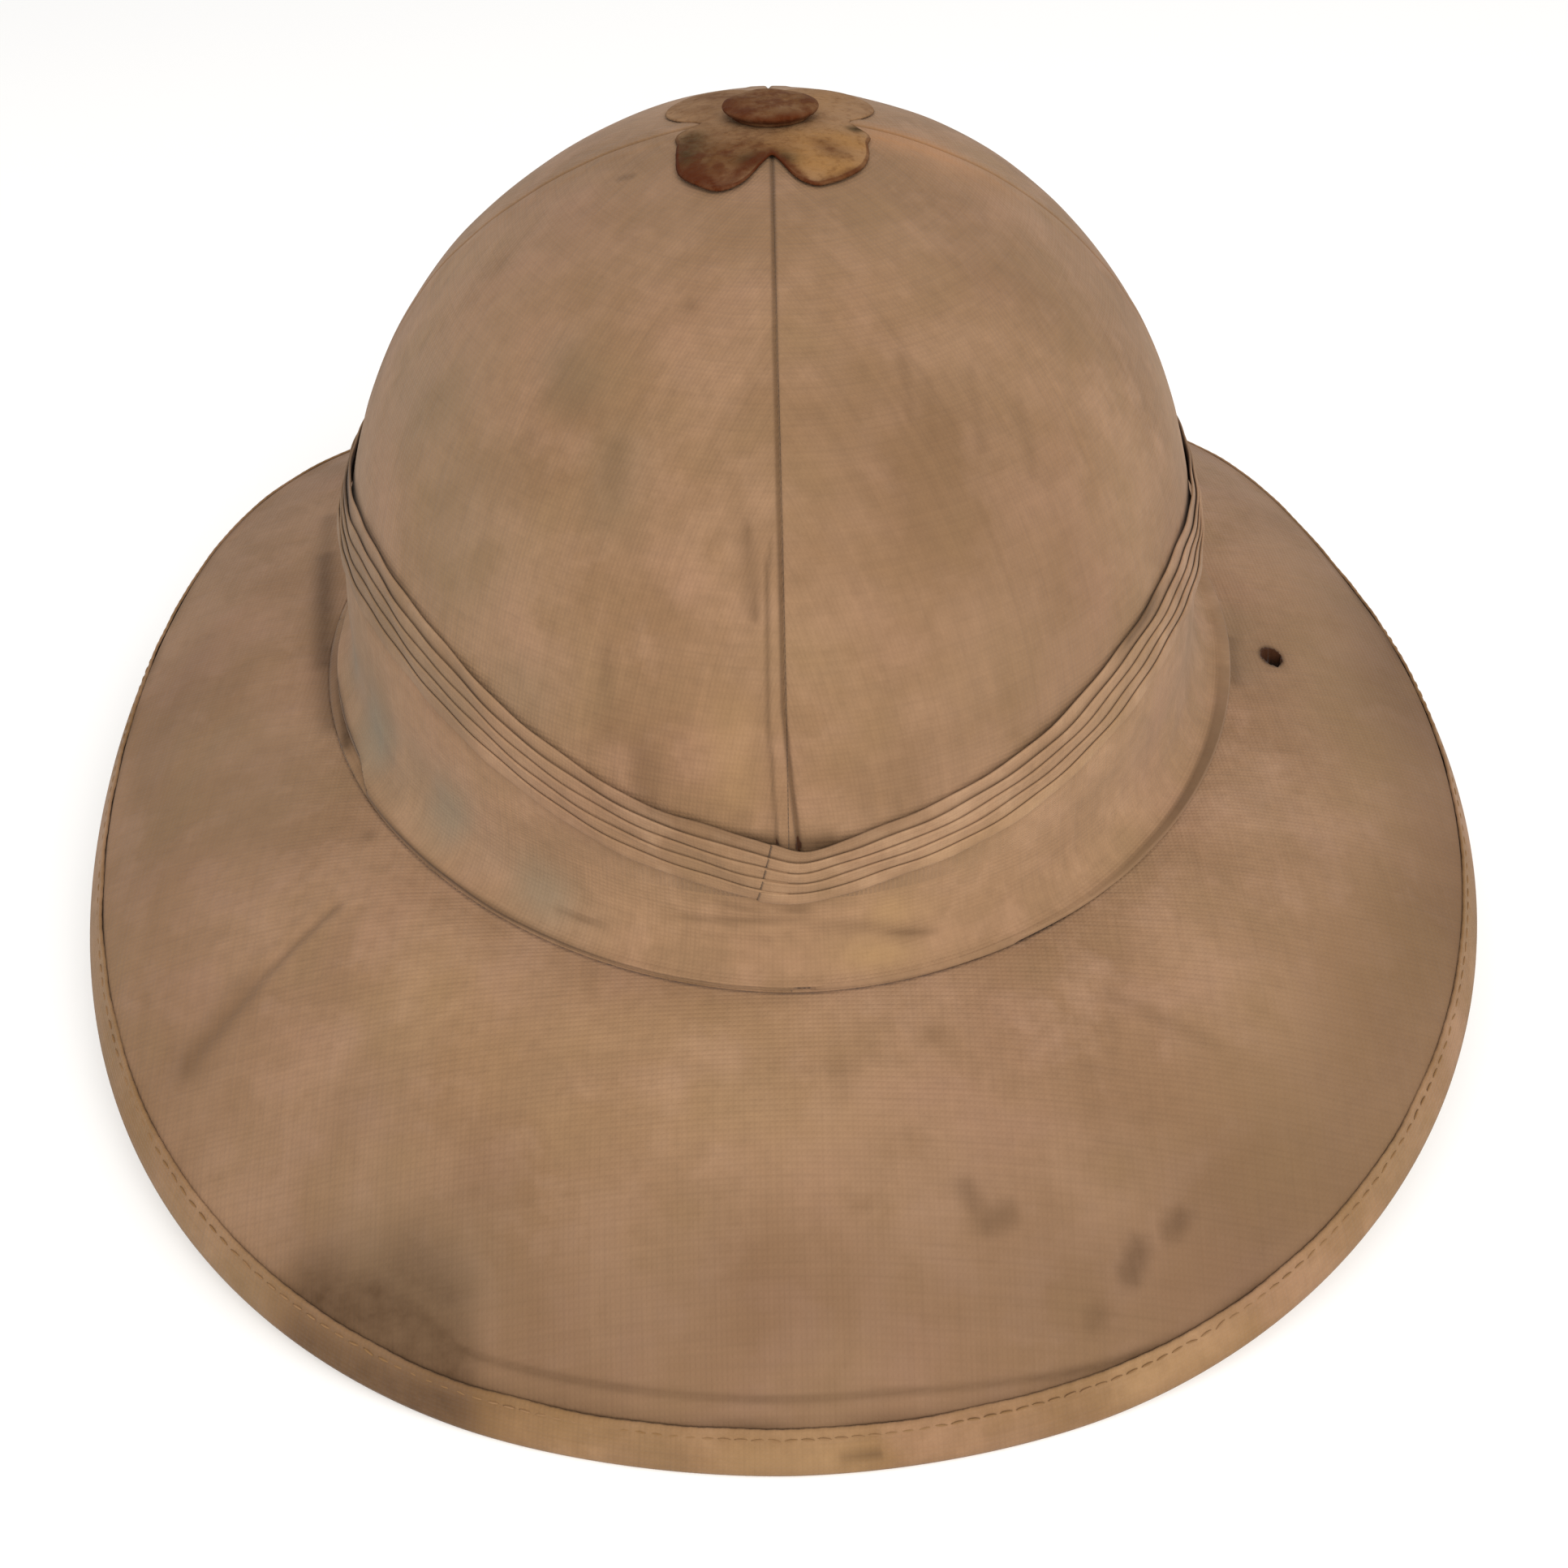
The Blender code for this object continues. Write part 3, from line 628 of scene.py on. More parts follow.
# Marks by kind: ends in plan as x, y in mm, radius in mm, strength.
BRIM_MARKS = dict(
    soil_and_shade=(
        ((-84, -151), (-76, -155), 7, 0.58), ((-74, -156), (-62, -162.5), 7.4, 0.84),
        ((-68, -150.5), (-60, -155), 6.5, 0.42), ((31, -144.5), (33, -147.6), 2.6, 0.4),
        ((34, -149), (38.4, -147.6), 2.8, 0.44), ((26.5, -145), (31, -144), 3, 0.18),
        ((61.2, -150.6), (59.6, -153.6), 3, 0.5), ((70, -145.2), (67.6, -147.2), 2.8, 0.46),
        ((53.4, -159.4), (52, -160.4), 2.8, 0.34), ((10.6, -127.2), (10.2, -131), 3.6, 0.2),
        ((26.9, -120.5), (26.9, -120.5), 2.4, 0.24), ((4.1, -149.2), (5, -153), 5, 0.14),
        ((-52.3, -140.3), (-49, -141), 6.5, 0.15), ((-78.9, -125.3), (-74, -124), 7, 0.15),
        ((-82.8, -67.3), (-82.8, -67.3), 1.9, 0.42), ((84, -146.5), (88.5, -143.5), 6, 0.3),
        ((78, -133), (90, -128), 6, 0.13), ((60.8, -111), (79.8, -118.4), 1.9, 0.22),
        ((-86, -85), (-103, -100), 1.1, 0.32), ((-102, -99), (-113, -109.5), 3.4, 0.34),
        # The broad rows on this line and the next are painted shade over the brim's outer part, on
        # the right and at the neck end.
        ((150, -84), (154, 10), 20, 0.29), ((82, -144), (146, -80), 20, 0.28),
        ((-40, -160), (70, -152), 14, 0.17), ((16, -144), (84, -138), 16, 0.14),
        # The four rows on this line and the next are painted shadow on the brim beside the band's
        # foot at the left.
        ((-115.2, 56), (-112, 36), 2.8, 0.36), ((-112, 36), (-108.3, 16), 3.2, 0.66),
        ((-108.3, 16), (-102.8, -10), 3.4, 0.7), ((-102.8, -10), (-97, -32), 3, 0.52),
        # The first row on this line is painted shade beside the band's foot on the right.
        ((106.8, -8), (103.8, -24), 1.8, 0.4), ((-140, -40), (-136, 10), 5, 0.1),
        ((100, -60), (110, -75), 6, 0.1),
    ),
    grey=(
        # The first broad grey row on this line and the first on the next are partly grey stain and
        # partly painted shade on the brim's left.
        ((-74, -149), (-60, -153), 11, 0.4), ((-106.2, -56.9), (-112, -40), 18.2, 0.23),
        ((-128, -60), (-134, -20), 15.6, 0.12), ((125.9, -31.6), (127, -10), 11.7, 0.12),
        ((109.5, 0), (106.5, -20), 6, 0.28),
    ),
    yellow=(
        ((-66, -104), (-52, -120), 11, 0.3), ((92, -126), (122, -98), 18, 0.3),
        ((128, -50), (130, 16), 12, 0.18), ((-38, -118), (6, -118), 9, 0.3),
        ((-40, -132), (10, -134), 9, 0.25), ((-36, -136), (-20, -128), 14, 0.16),
    ),
)
HOLE_BEARING = math.radians(81.3)
HOLE_FRACTION = 0.262
HOLE_HALF_SIZE = (0.0023, 0.0031)    # along X and Y
HOLE_RAGGED = 0.08
HOLE_SLANT = 0.50             # the hole runs back under itself this much for each mm of depth
HOLE_HALF_DEPTH = 0.0062
HOLE_COLUMNS = 44
EDGE_DIRT_AND_SHADE = (0.20, 0.22, 0.022)     # dirt and painted shade along the binding's edge: strength, patches, their size
EDGE_DIRT_AND_SHADE_WIDTH = 0.0013
RIM_PAINTED_SHADE = 0.28           # painted shade over the brim's outer part, darker towards the rim
RIM_PAINTED_SHADE_WIDTH = 0.034
SECOND_LINE_GAP = 0.0034
SECOND_LINE_SOIL = 0.30
BRIM_SOIL_AND_SHADE_LIMIT = 0.86
HOLE_PAINTED_SHADE = 0.95
HOLE_HALO = 0.20


def rim_point(bearing):
    """Outermost, lowest line of the helmet: a superellipse with small waves, its sides raised
    by a power of the sine."""
    length = end_value(bearing, BRIM_NECK_LENGTH, BRIM_FACE_LENGTH)
    shape = superellipse(bearing, end_value(bearing, BRIM_NECK_POWER, BRIM_FACE_POWER))
    swell = waves(bearing, RIM_WAVES)
    x = (BRIM_HALF_WIDTH * shape + swell) * np.sin(bearing) + BRIM_SHIFT + CROWN_CENTRE[0]
    y = -(length * shape + swell) * np.cos(bearing) + BRIM_SKEW * np.sin(bearing) + CROWN_CENTRE[1]
    flat = math.sin(BRIM_FLAT_BEARING) ** 2
    lift = (np.sin(bearing) ** 2 - flat) / (1.0 - flat)
    lift = np.clip(0.5 * (lift + np.sqrt(lift ** 2 + RIM_SOFTNESS ** 2)), 0.0, 1.0)
    rise = end_value(bearing, lift ** NECK_RISE_POWER, 1.0 - (1.0 - lift) ** FACE_RISE_POWER)
    return as_points(x, y, BRIM_SIDE_RISE * rise)


def rim_offset(bearing, inward, upward):
    """Point moved from the rim towards the middle of the helmet, and up."""
    point = rim_point(bearing + 0.0 * inward)
    point[..., :2] -= unit(point[..., :2] - CROWN_CENTRE) * (inward + 0.0 * bearing)[..., None]
    point[..., 2] += upward
    return point


def binding_reach(bearing):
    """Distance in from the rim of the binding's upper edge."""
    return BINDING_REACH + BINDING_EXTRA_REACH * np.sin(bearing) ** 2


def brim_point(bearing, fraction):
    """Top of the brim: straight in plan from the flare to the binding, its drop growing as a
    power of the way out."""
    start = crown_point(bearing, 0.0, FLARE_REACH + JOINT_GAP)
    start[..., 2] -= BRIM_START_DROP
    reach = binding_reach(bearing) + UNDER_BINDING
    end = rim_offset(bearing, reach, BINDING_RISE - UNDER_BINDING_DROP)
    point = start + (end - start) * fraction[..., None]
    point[..., 2] = start[..., 2] + (end - start)[..., 2] * fraction ** BRIM_DROOP_POWER
    return point


def window(value, low, full, full_end, end):
    """1 from full to full_end, falling to 0 at low and at end."""
    return smooth_step(value, low, full) * (1.0 - smooth_step(value, full_end, end))


def crease_relief(points, table):
    """Grooves along short lines in plan, fading at both ends of each line, with the cloth a
    little raised beside them."""
    relief = np.zeros(points.shape[:-1])
    for start, end, width, depth in table:
        way, away = from_line(points[..., :2], np.array(start) * MM, np.array(end) * MM)
        width = width * MM
        groove = bell(away, width) - 0.45 * bell(away - 1.9 * width, width)
        relief -= depth * MM * window(way, -0.1, 0.25, 0.7, 1.15) * groove
    return relief


def hole_centre():
    """Middle of the worn hole, on the top of the brim."""
    return brim_point(np.array([HOLE_BEARING]), np.array([HOLE_FRACTION]))[0]


def brim_marks(points, upward):
    """Marks of the brim: the table's, and darkened lines at the binding, dirt and painted shade,
    with painted shade over the outer part, where the surface faces upward; and painted deep
    shade in the hole, with a darker ring round it."""
    marks = paint_marks(points, BRIM_MARKS)
    soil_and_shade = marks[..., 0]
    bearing = np.arctan2(points[..., 0] - CROWN_CENTRE[0], CROWN_CENTRE[1] - points[..., 1])
    edge = rim_offset(bearing, binding_reach(bearing) + UNDER_BINDING, 0.0)
    inside = plan_radius(edge) - plan_radius(points)
    strength, patches, size = EDGE_DIRT_AND_SHADE
    flat = points * np.array([1.0, 1.0, 0.0])
    patchy = np.clip(strength + patches * soft_noise(flat, size, 11), 0.0, 0.5)
    # Dirt and painted shade along the binding's edge, and painted shade over the outer part, darker
    # towards the rim.
    soil_and_shade += patchy * bell(np.maximum(inside, 0.0), EDGE_DIRT_AND_SHADE_WIDTH)
    soil_and_shade += RIM_PAINTED_SHADE * bell(np.maximum(inside, 0.0), RIM_PAINTED_SHADE_WIDTH)
    # A second, fainter line runs above it at the neck and joins it on the right.
    degrees = np.degrees(bearing)
    apart = SECOND_LINE_GAP * (1.0 - smooth_step(degrees, 2.0, 24.0))
    seen = window(degrees, -26.0, -14.0, 18.0, 26.0)
    soil_and_shade += SECOND_LINE_SOIL * seen * bell(inside - apart, 0.0006)
    np.minimum(soil_and_shade, BRIM_SOIL_AND_SHADE_LIMIT, out=soil_and_shade)
    marks *= smooth_step(upward, -0.20, 0.0)[..., None]
    away = (points[..., :2] - hole_centre()[:2]) / np.array(HOLE_HALF_SIZE)
    from_edge = np.hypot(away[..., 0], away[..., 1])
    # Painted deep shade inside the hole, and a darker ring round it.
    soil_and_shade += HOLE_PAINTED_SHADE * (1.0 - smooth_step(from_edge, 0.95, 1.5))
    soil_and_shade += HOLE_HALO * (1.0 - smooth_step(from_edge, 1.0, 2.6))
    return marks


def make_hole_cutter():
    """Ragged slanted tube that wears the hole through the brim."""
    centre = hole_centre()
    angle = np.linspace(0.0, 2.0 * math.pi, HOLE_COLUMNS + 1)[None, :]
    depth = np.array([1.0, 1.0, -1.0, -1.0])[:, None] * HOLE_HALF_DEPTH
    size = np.array([0.0, 1.0, 1.0, 0.0])[:, None]
    wobble = np.sin(3.0 * angle + 1.0) + 0.7 * np.sin(7.0 * angle) + 0.5 * np.sin(11.0 * angle)
    ragged = 1.0 + HOLE_RAGGED * wobble
    x = centre[0] + HOLE_HALF_SIZE[0] * ragged * size * np.sin(angle)
    y = centre[1] - HOLE_HALF_SIZE[1] * ragged * size * np.cos(angle) + HOLE_SLANT * depth
    grid = as_points(x, y, centre[2] + depth)
    return make_piece("hole_cutter", grid, bpy.data.materials.new("hole_cutter"))


def fetch(items, key, width, kind=np.float32):
    """Array of one value of every item, in rows of a width."""
    values = np.zeros(len(items) * width, kind)
    items.foreach_get(key, values)
    return values.reshape(-1, width)


def cut_hole(piece):
    """Cut the hole with a Boolean, apply it, then give the new mesh its threads and marks."""
    cut = piece.modifiers.new("worn_hole", "BOOLEAN")
    cut.operation = "DIFFERENCE"
    cut.solver = "EXACT"
    cut.object = make_hole_cutter()
    evaluated = piece.evaluated_get(bpy.context.evaluated_depsgraph_get())
    mesh = bpy.data.meshes.new_from_object(evaluated)
    bpy.data.objects.remove(cut.object)
    piece.modifiers.clear()
    plain, piece.data = piece.data, mesh
    bpy.data.meshes.remove(plain)
    points = fetch(mesh.vertices, "co", 3).astype(float)
    corners = fetch(mesh.loops, "vertex_index", 1, np.int32)[:, 0]
    store(mesh.uv_layers["threads"].uv, "vector", points[corners, :2])
    upward = fetch(mesh.vertices, "normal", 3)[:, 2].astype(float)
    store_marks(mesh, brim_marks(points, upward))


def make_brim():
    """Closed shell of the brim: top, edge under the binding, underside, with the worn hole."""
    crowded = np.radians([-44.0, 81.3])         # at the left crease and at the hole
    bearing = crowded_bearings(BRIM_COLUMNS, crowded, 0.10, 1.6)[None, :]
    fraction = np.linspace(0.0, 1.0, BRIM_ROWS + 1)[:, None] ** 0.92
    top = brim_point(bearing, fraction)
    reach = binding_reach(bearing)
    stop = rim_offset(bearing, reach * BRIM_STOP_Z / BINDING_RISE + UNDER_BINDING, BRIM_STOP_Z)
    base = np.concatenate([top, stop])
    normal = grid_normals(base)
    relief = uneven(top, BRIM_UNEVEN) + crease_relief(top, BRIM_CREASES)
    relief = relief * window(fraction, 0.02, 0.12, 0.93, 0.99)
    relief = np.concatenate([relief, np.zeros_like(relief[:1])])
    shown = base + normal * relief[..., None]
    under = base - normal * BRIM_THICKNESS
    grid = np.concatenate([shown, under[::-3], under[:1], shown[:1]])
    grid[:, -1] = grid[:, 0]
    cotton = woven_cotton("khaki_cotton_on_pith_brim", BRIM_COLOURS)
    piece = make_piece("brim_cover", grid, cotton)
    cut_hole(piece)
    return piece


brim = make_brim()
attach(brim, "root")
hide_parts("brim_shell")


# ---------------------------------------------------------------- binding
# A strip of the same cotton, folded over the rim and sewn through, covers the edge of the pith.
# It is soiled by handling, and its running stitches pull it in a little.

BINDING_WIDTH = 0.0081        # across the folded strip at the rim
BINDING_INNER_SHARE = 0.45    # the inner leg's height as a share of the outer one's
BINDING_CHAMFER = 0.0008
BINDING_THICKNESS = 0.0006
BINDING_COLUMNS = 1348        # four to a stitch
BINDING_PUCKER = 0.00016
BINDING_UNEVEN = ((0.00016, 0.016, 32), (0.00016, 0.05, 33))
BINDING_SOIL = 0.16           # of handling, at its foot
STITCH_COUNT = 337
STITCH_LENGTH = 0.0024
STITCH_WIDTH = 0.00042
STITCH_HEIGHT = 0.00024
STITCH_BELOW_EDGE = 0.0017
STITCH_SIDES = 6
STITCH_RINGS = 6
STITCH_TILT = 0.10            # they don't all lie quite along the rim
BINDING_COLOURS = ("8C6C4F", "7B5C3A", "977758")
THREAD_COLOUR = "856647"
BINDING_MARKS = dict(
    soil_and_shade=(
        ((-86, -154.5, 6), (-77, -160, 5.5), 7, 0.8),
        ((-76, -161, 5.5), (-59, -168, 4.5), 7, 0.86),
        ((8.4, -178.3, 3.1), (14.4, -178, 3.6), 0.8, 0.8),
        ((-30, -176, 3), (-20, -177, 3), 3, 0.18), ((35, -175, 3), (50, -171, 3), 3, 0.16),
    ),
    yellow=(
        ((-8, -178, 3), (10, -178, 3), 5, 0.45), ((60, -166, 5), (78, -157, 5), 5, 0.45),
    ),
    grey=(
        ((-120, -120, 8), (-96, -146, 6), 7, 0.4), ((-152, -40, 18), (-140, -95, 12), 7, 0.4),
    ),
)


def rounded_path(path, rounds):
    """Path with its corners cut again and again at a quarter of each side; its ends stay."""
    for _ in range(rounds):
        before = 0.75 * path[:-1] + 0.25 * path[1:]
        after = 0.25 * path[:-1] + 0.75 * path[1:]
        cut = np.stack([before, after], axis=1).reshape((-1,) + path.shape[1:])
        path = np.concatenate([path[:1], cut, path[-1:]])
    return path


def thick_path(path, thickness):
    """Closed outline of a strip: the path, its copy moved to the left of the way it runs, and
    a rounded end at either side.  Points are pairs in the last axis."""
    way = unit(np.gradient(path, axis=0))
    left = np.stack([-way[..., 1], way[..., 0]], axis=-1) * thickness
    lead = 0.35 * thickness * way
    last = path[-1:] + 0.5 * left[-1:] + lead[-1:]
    first = path[:1] + 0.5 * left[:1] - lead[:1]
    return np.concatenate([path, last, (path + left)[::-1], first, path[:1]])


def binding_outline(bearing):
    """Outline across the folded strip at each bearing, as pairs of inward and upward."""
    reach = binding_reach(bearing)
    corners = (
        (reach, BINDING_RISE),
        (0.0, BINDING_CHAMFER),
        (BINDING_CHAMFER, 0.0),
        (BINDING_WIDTH - BINDING_CHAMFER, 0.0),
        (BINDING_WIDTH, BINDING_CHAMFER),
        (BINDING_WIDTH + reach * BINDING_INNER_SHARE, BINDING_RISE * BINDING_INNER_SHARE),
    )
    path = np.array([as_points(inward + 0.0 * reach, upward) for inward, upward in corners])
    return thick_path(rounded_path(path, 2), BINDING_THICKNESS)


def make_binding():
    """Folded strip round the rim, drawn in a little by its stitches."""
    bearing = np.linspace(-math.pi, math.pi, BINDING_COLUMNS + 1)
    outline = binding_outline(bearing)
    grid = rim_offset(bearing[None, :], outline[..., 0], outline[..., 1])
    # Between two stitches the strip stands out, most of all near its upper edge.
    pull = np.sin(0.5 * STITCH_COUNT * bearing + 0.4 * soft_noise(grid[0], 0.05, 31)) ** 2
    near_edge = smooth_step(outline[..., 1] / BINDING_RISE, 0.35, 0.95)
    stand = 0.5 * BINDING_PUCKER * pull + uneven(grid, BINDING_UNEVEN)
    grid[..., :2] += unit(grid[..., :2] - CROWN_CENTRE) * (stand * near_edge)[..., None]
    grid[:, -1] = grid[:, 0]
    marks = paint_marks(grid, BINDING_MARKS)
    marks[..., 0] += BINDING_SOIL * smooth_step(outline[..., 1], 0.0030, 0.0)
    marks[..., 0] += 0.10 * np.clip(soft_noise(grid, 0.03, 34), 0.0, 1.0)
    uv = as_points(run_along(rim_point(bearing))[None, :], run_along(outline[:, 0])[:, None])
    cotton = woven_cotton("khaki_cotton_binding", BINDING_COLOURS)
    return make_piece("rim_binding", grid, cotton, uv, marks)


def make_stitches():
    """Running stitches: one small spindle repeated along the strip's upper edge.

    A spindle's half width at a share s of its length is sin(pi s)^0.5; it lies on the face of
    the strip, along the rim.  Its grid runs along it and round it, one grid for each stitch.
    """
    middle = (np.arange(STITCH_COUNT) + 0.5) * 2.0 * math.pi / STITCH_COUNT - math.pi
    reach = binding_reach(middle)
    slope = unit(as_points(-reach, BINDING_CHAMFER - BINDING_RISE)) * STITCH_BELOW_EDGE
    inward, upward = reach + slope[:, 0], BINDING_RISE + slope[:, 1]
    centre = rim_offset(middle, inward, upward)
    ahead = unit(rim_offset(middle + 0.002, inward, upward) - centre)
    out = unit(np.cross(ahead, rim_offset(middle, reach, BINDING_RISE) - centre))
    top = np.cross(out, ahead)
    share = np.linspace(0.0, 1.0, STITCH_RINGS)
    angle = np.linspace(2.0 * math.pi, 0.0, STITCH_SIDES + 1)[:, None]
    width = np.sqrt(np.sin(math.pi * np.clip(share, 0.02, 0.98)))
    width[[0, -1]] = 0.0
    tilt = STITCH_TILT * np.random.default_rng(41).normal(size=STITCH_COUNT)
    run = (share - 0.5)[:, None] * STITCH_LENGTH * (ahead + tilt[:, None] * top)[:, None]
    ring = np.cos(angle) * STITCH_WIDTH * 0.5 * top[:, None]
    ring = ring + np.sin(angle) * STITCH_HEIGHT * out[:, None]
    grids = centre[:, None, None] + run[:, :, None] + ring[:, None] * width[:, None, None]
    return make_piece("binding_stitches", grids, cotton_thread())


def cotton_thread():
    """Twisted cotton sewing thread: matt like the cloth, a little browner where it is soiled."""
    material, tree, shader = new_material("khaki_cotton_thread", {
        "Roughness": 0.85, "Specular IOR Level": 0.25})
    place = add_node(tree, "TexCoord").outputs["Object"]
    patches = {0: place, "Scale": 1.0 / 0.02, "Detail": 3.0, "Roughness": 0.55}
    soiled = ((add_node(tree, "TexNoise", patches), 0.4, 0.6, 1.0, linear(BINDING_COLOURS[1])),)
    colour = layer_colours(tree, linear(THREAD_COLOUR), soiled)
    tree.links.new(colour, shader.inputs["Base Color"])
    return material


binding = make_binding()
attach(binding, "root")
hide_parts("brim_edge_binding")
stitches = make_stitches()
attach(stitches, "root")


# ---------------------------------------------------------------- lower band
# A plain strip of greyer cotton lies round the crown's foot, over the joint with the brim.  Its
# lower edge is turned under; it is wrinkled at the neck, and on the left it has come away.

# Edges of the pleated band above it: bearing, lower and upper edge above the foot in mm.
PLEAT_EDGES = (
    (-180, 33, 45), (-135, 33.7, 45.7), (-110, 34.5, 46.7), (-90, 35.8, 48.2), (-75, 36.5, 49.3),
    (-60, 37.2, 49.8), (-45, 33.4, 45.9), (-30, 26.3, 38.5), (-15, 19.6, 31.4), (-9, 17.6, 29.7),
    (-4, 15.7, 27.6), (1.5, 15, 25.1), (6, 16.3, 27), (10, 17.8, 28.9), (15, 19.2, 30.5),
    (30, 23.9, 36.5), (45, 30, 43.1), (60, 33, 46.3), (75, 32.2, 45.3), (90, 31.6, 44.4),
    (110, 31.7, 44.1), (135, 32.3, 44.3), (180, 33, 45),
)
BAND_THICKNESS = 0.0008
BAND_SEAT = 0.0001            # between the strip and the cloth that it lies on
BAND_FOOT_REACH = 0.0083      # the foot edge from the crown's wall, measured outwards
BAND_RIGHT_REACH = 0.0030     # added at the right side
BAND_LEFT_SHRINK = 0.0022     # taken off where the band has come away
BAND_LEFT_LIFT = 0.0009
BAND_TUCK = 0.0008            # the band reaches this far up behind the pleats
BAND_COLUMNS = 520
BAND_WALL_ROWS = 26
BAND_FLARE_ROWS = 26
BAND_UNEVEN = ((0.00024, 0.030, 51), (0.000105, 0.011, 52))
BAND_RADIUS = 0.104           # for turning bearings into lengths along the band
HEM_RAISE = 0.00035           # the turned-under edge stands out a little more
HEM_WIDTH = 0.006
# The foot edge is darkened: dirt, and painted shade where it stands over the brim.
FOOT_SOIL_AND_SHADE = 0.12
# Wrinkles: bearing and height of both ends, half width and height in mm; minus is a groove.
BAND_WRINKLES = (
    ((-27, 1.6), (-20, 2), 0.55, -0.45), ((-26, 2.9), (-18, 4), 0.9, 0.3),
    ((-13, 7.2), (1.5, 9.4), 0.55, -0.5), ((-13, 5.4), (1, 6.9), 0.9, 0.35),
    ((1, 9.6), (5, 10.4), 0.5, -0.35), ((0, 6.3), (9, 4.4), 0.8, -0.3),
    ((9, 4.3), (16, 2), 0.8, -0.5), ((5, 3.2), (14, 0.6), 1.3, 0.45),
    ((8, 7.6), (17, 5.6), 1.5, 0.35), ((-24, 8), (-12, 4.2), 1.2, 0.16),
    ((22, 6), (38, 10), 1.8, 0.18), ((-48, 10), (-34, 4), 1.6, -0.18),
    ((-70, 14), (-52, 6), 1.8, 0.2), ((48, 4), (62, 9), 1.8, 0.16),
    ((100, 6), (118, 10), 1.8, 0.18), ((-130, 8), (-112, 4), 1.8, 0.18),
    ((150, 5), (168, 9), 1.5, -0.16),
)
# Marks by kind: bearing and height of both ends, radius in mm, strength.
BAND_MARKS = dict(
    grey=(
        ((-66, 12), (-56, 4), 12, 0.9), ((-48, 12), (-40, 5), 10, 0.75),
        ((-34, 6), (-24, 2), 7, 0.6), ((-82, 18), (-70, 8), 10, 0.75),
    ),
    yellow=(
        ((8, 10.5), (14, 8), 4, 0.6), ((5, 2), (13, 0.4), 3, 0.75),
    ),
    # These rows are painted shade with some dirt: in the wrinkles' grooves, under the pleats'
    # crossing, along the foot edge and in the gap where the band has come away.
    soil_and_shade=(
        ((10, 4.6), (16, 2.6), 1.1, 0.55), ((-14, 7.2), (2, 9.6), 0.9, 0.4),
        ((-27, 1.6), (-20, 2), 0.7, 0.45), ((-3, 13.8), (6, 13.8), 1.4, 0.18),
        ((-77, -0.7), (-62, -0.8), 1.2, 0.95), ((-64, -1.5), (-18, -1.5), 0.9, 0.85),
        ((34, -1.5), (76, -1.5), 0.8, 0.6), ((-1.2, 11.9), (2.6, 11.9), 0.55, 0.7),
        ((-8, 12.4), (-3, 11.4), 0.8, 0.4), ((1, 8.8), (13, 5.6), 1.6, 0.22),
    ),
)
BAND_COLOURS = ("947457", "886A4E", "A18063")
BAND_GREY = "7F7360"           # the bluish stain on its left


def table_curve(bearing, table, column):
    """Smooth curve round the helmet through one column of a table: cubic pieces that share
    their slopes."""
    knots = np.radians([row[0] for row in table])
    values = np.array([row[column] for row in table])
    slopes = np.gradient(values, knots)
    slopes[0] = slopes[-1] = 0.0
    index = np.clip(np.searchsorted(knots, bearing) - 1, 0, len(knots) - 2)
    span = knots[index + 1] - knots[index]
    t = (bearing - knots[index]) / span
    ends = values[index] * (1 + 2 * t) * (1 - t) ** 2 + values[index + 1] * (3 - 2 * t) * t ** 2
    return ends + span * t * (1 - t) * (slopes[index] * (1 - t) - slopes[index + 1] * t)


def band_climb(height):
    """Distance up the band's profile at a height above the foot: round the flare's ellipse,
    then straight up the wall."""
    turn = np.linspace(0.5 * math.pi, 0.0, 400)
    rise = flare_rise(turn)
    length = run_along(as_points(FLARE_REACH * (1.0 - np.cos(turn)), rise))
    return np.interp(height, rise, length) + np.maximum(height - rise[-1], 0.0)


def on_band(place):
    """Place on the unrolled band of a bearing in degrees and a height in mm."""
    return np.array([math.radians(place[0]) * BAND_RADIUS, band_climb(place[1] * MM)])


def come_away(bearing):
    """How far the band has come away at each bearing: 1 on the left, 0 elsewhere."""
    return window(-np.degrees(bearing), 57.0, 63.0, 88.0, 122.0)


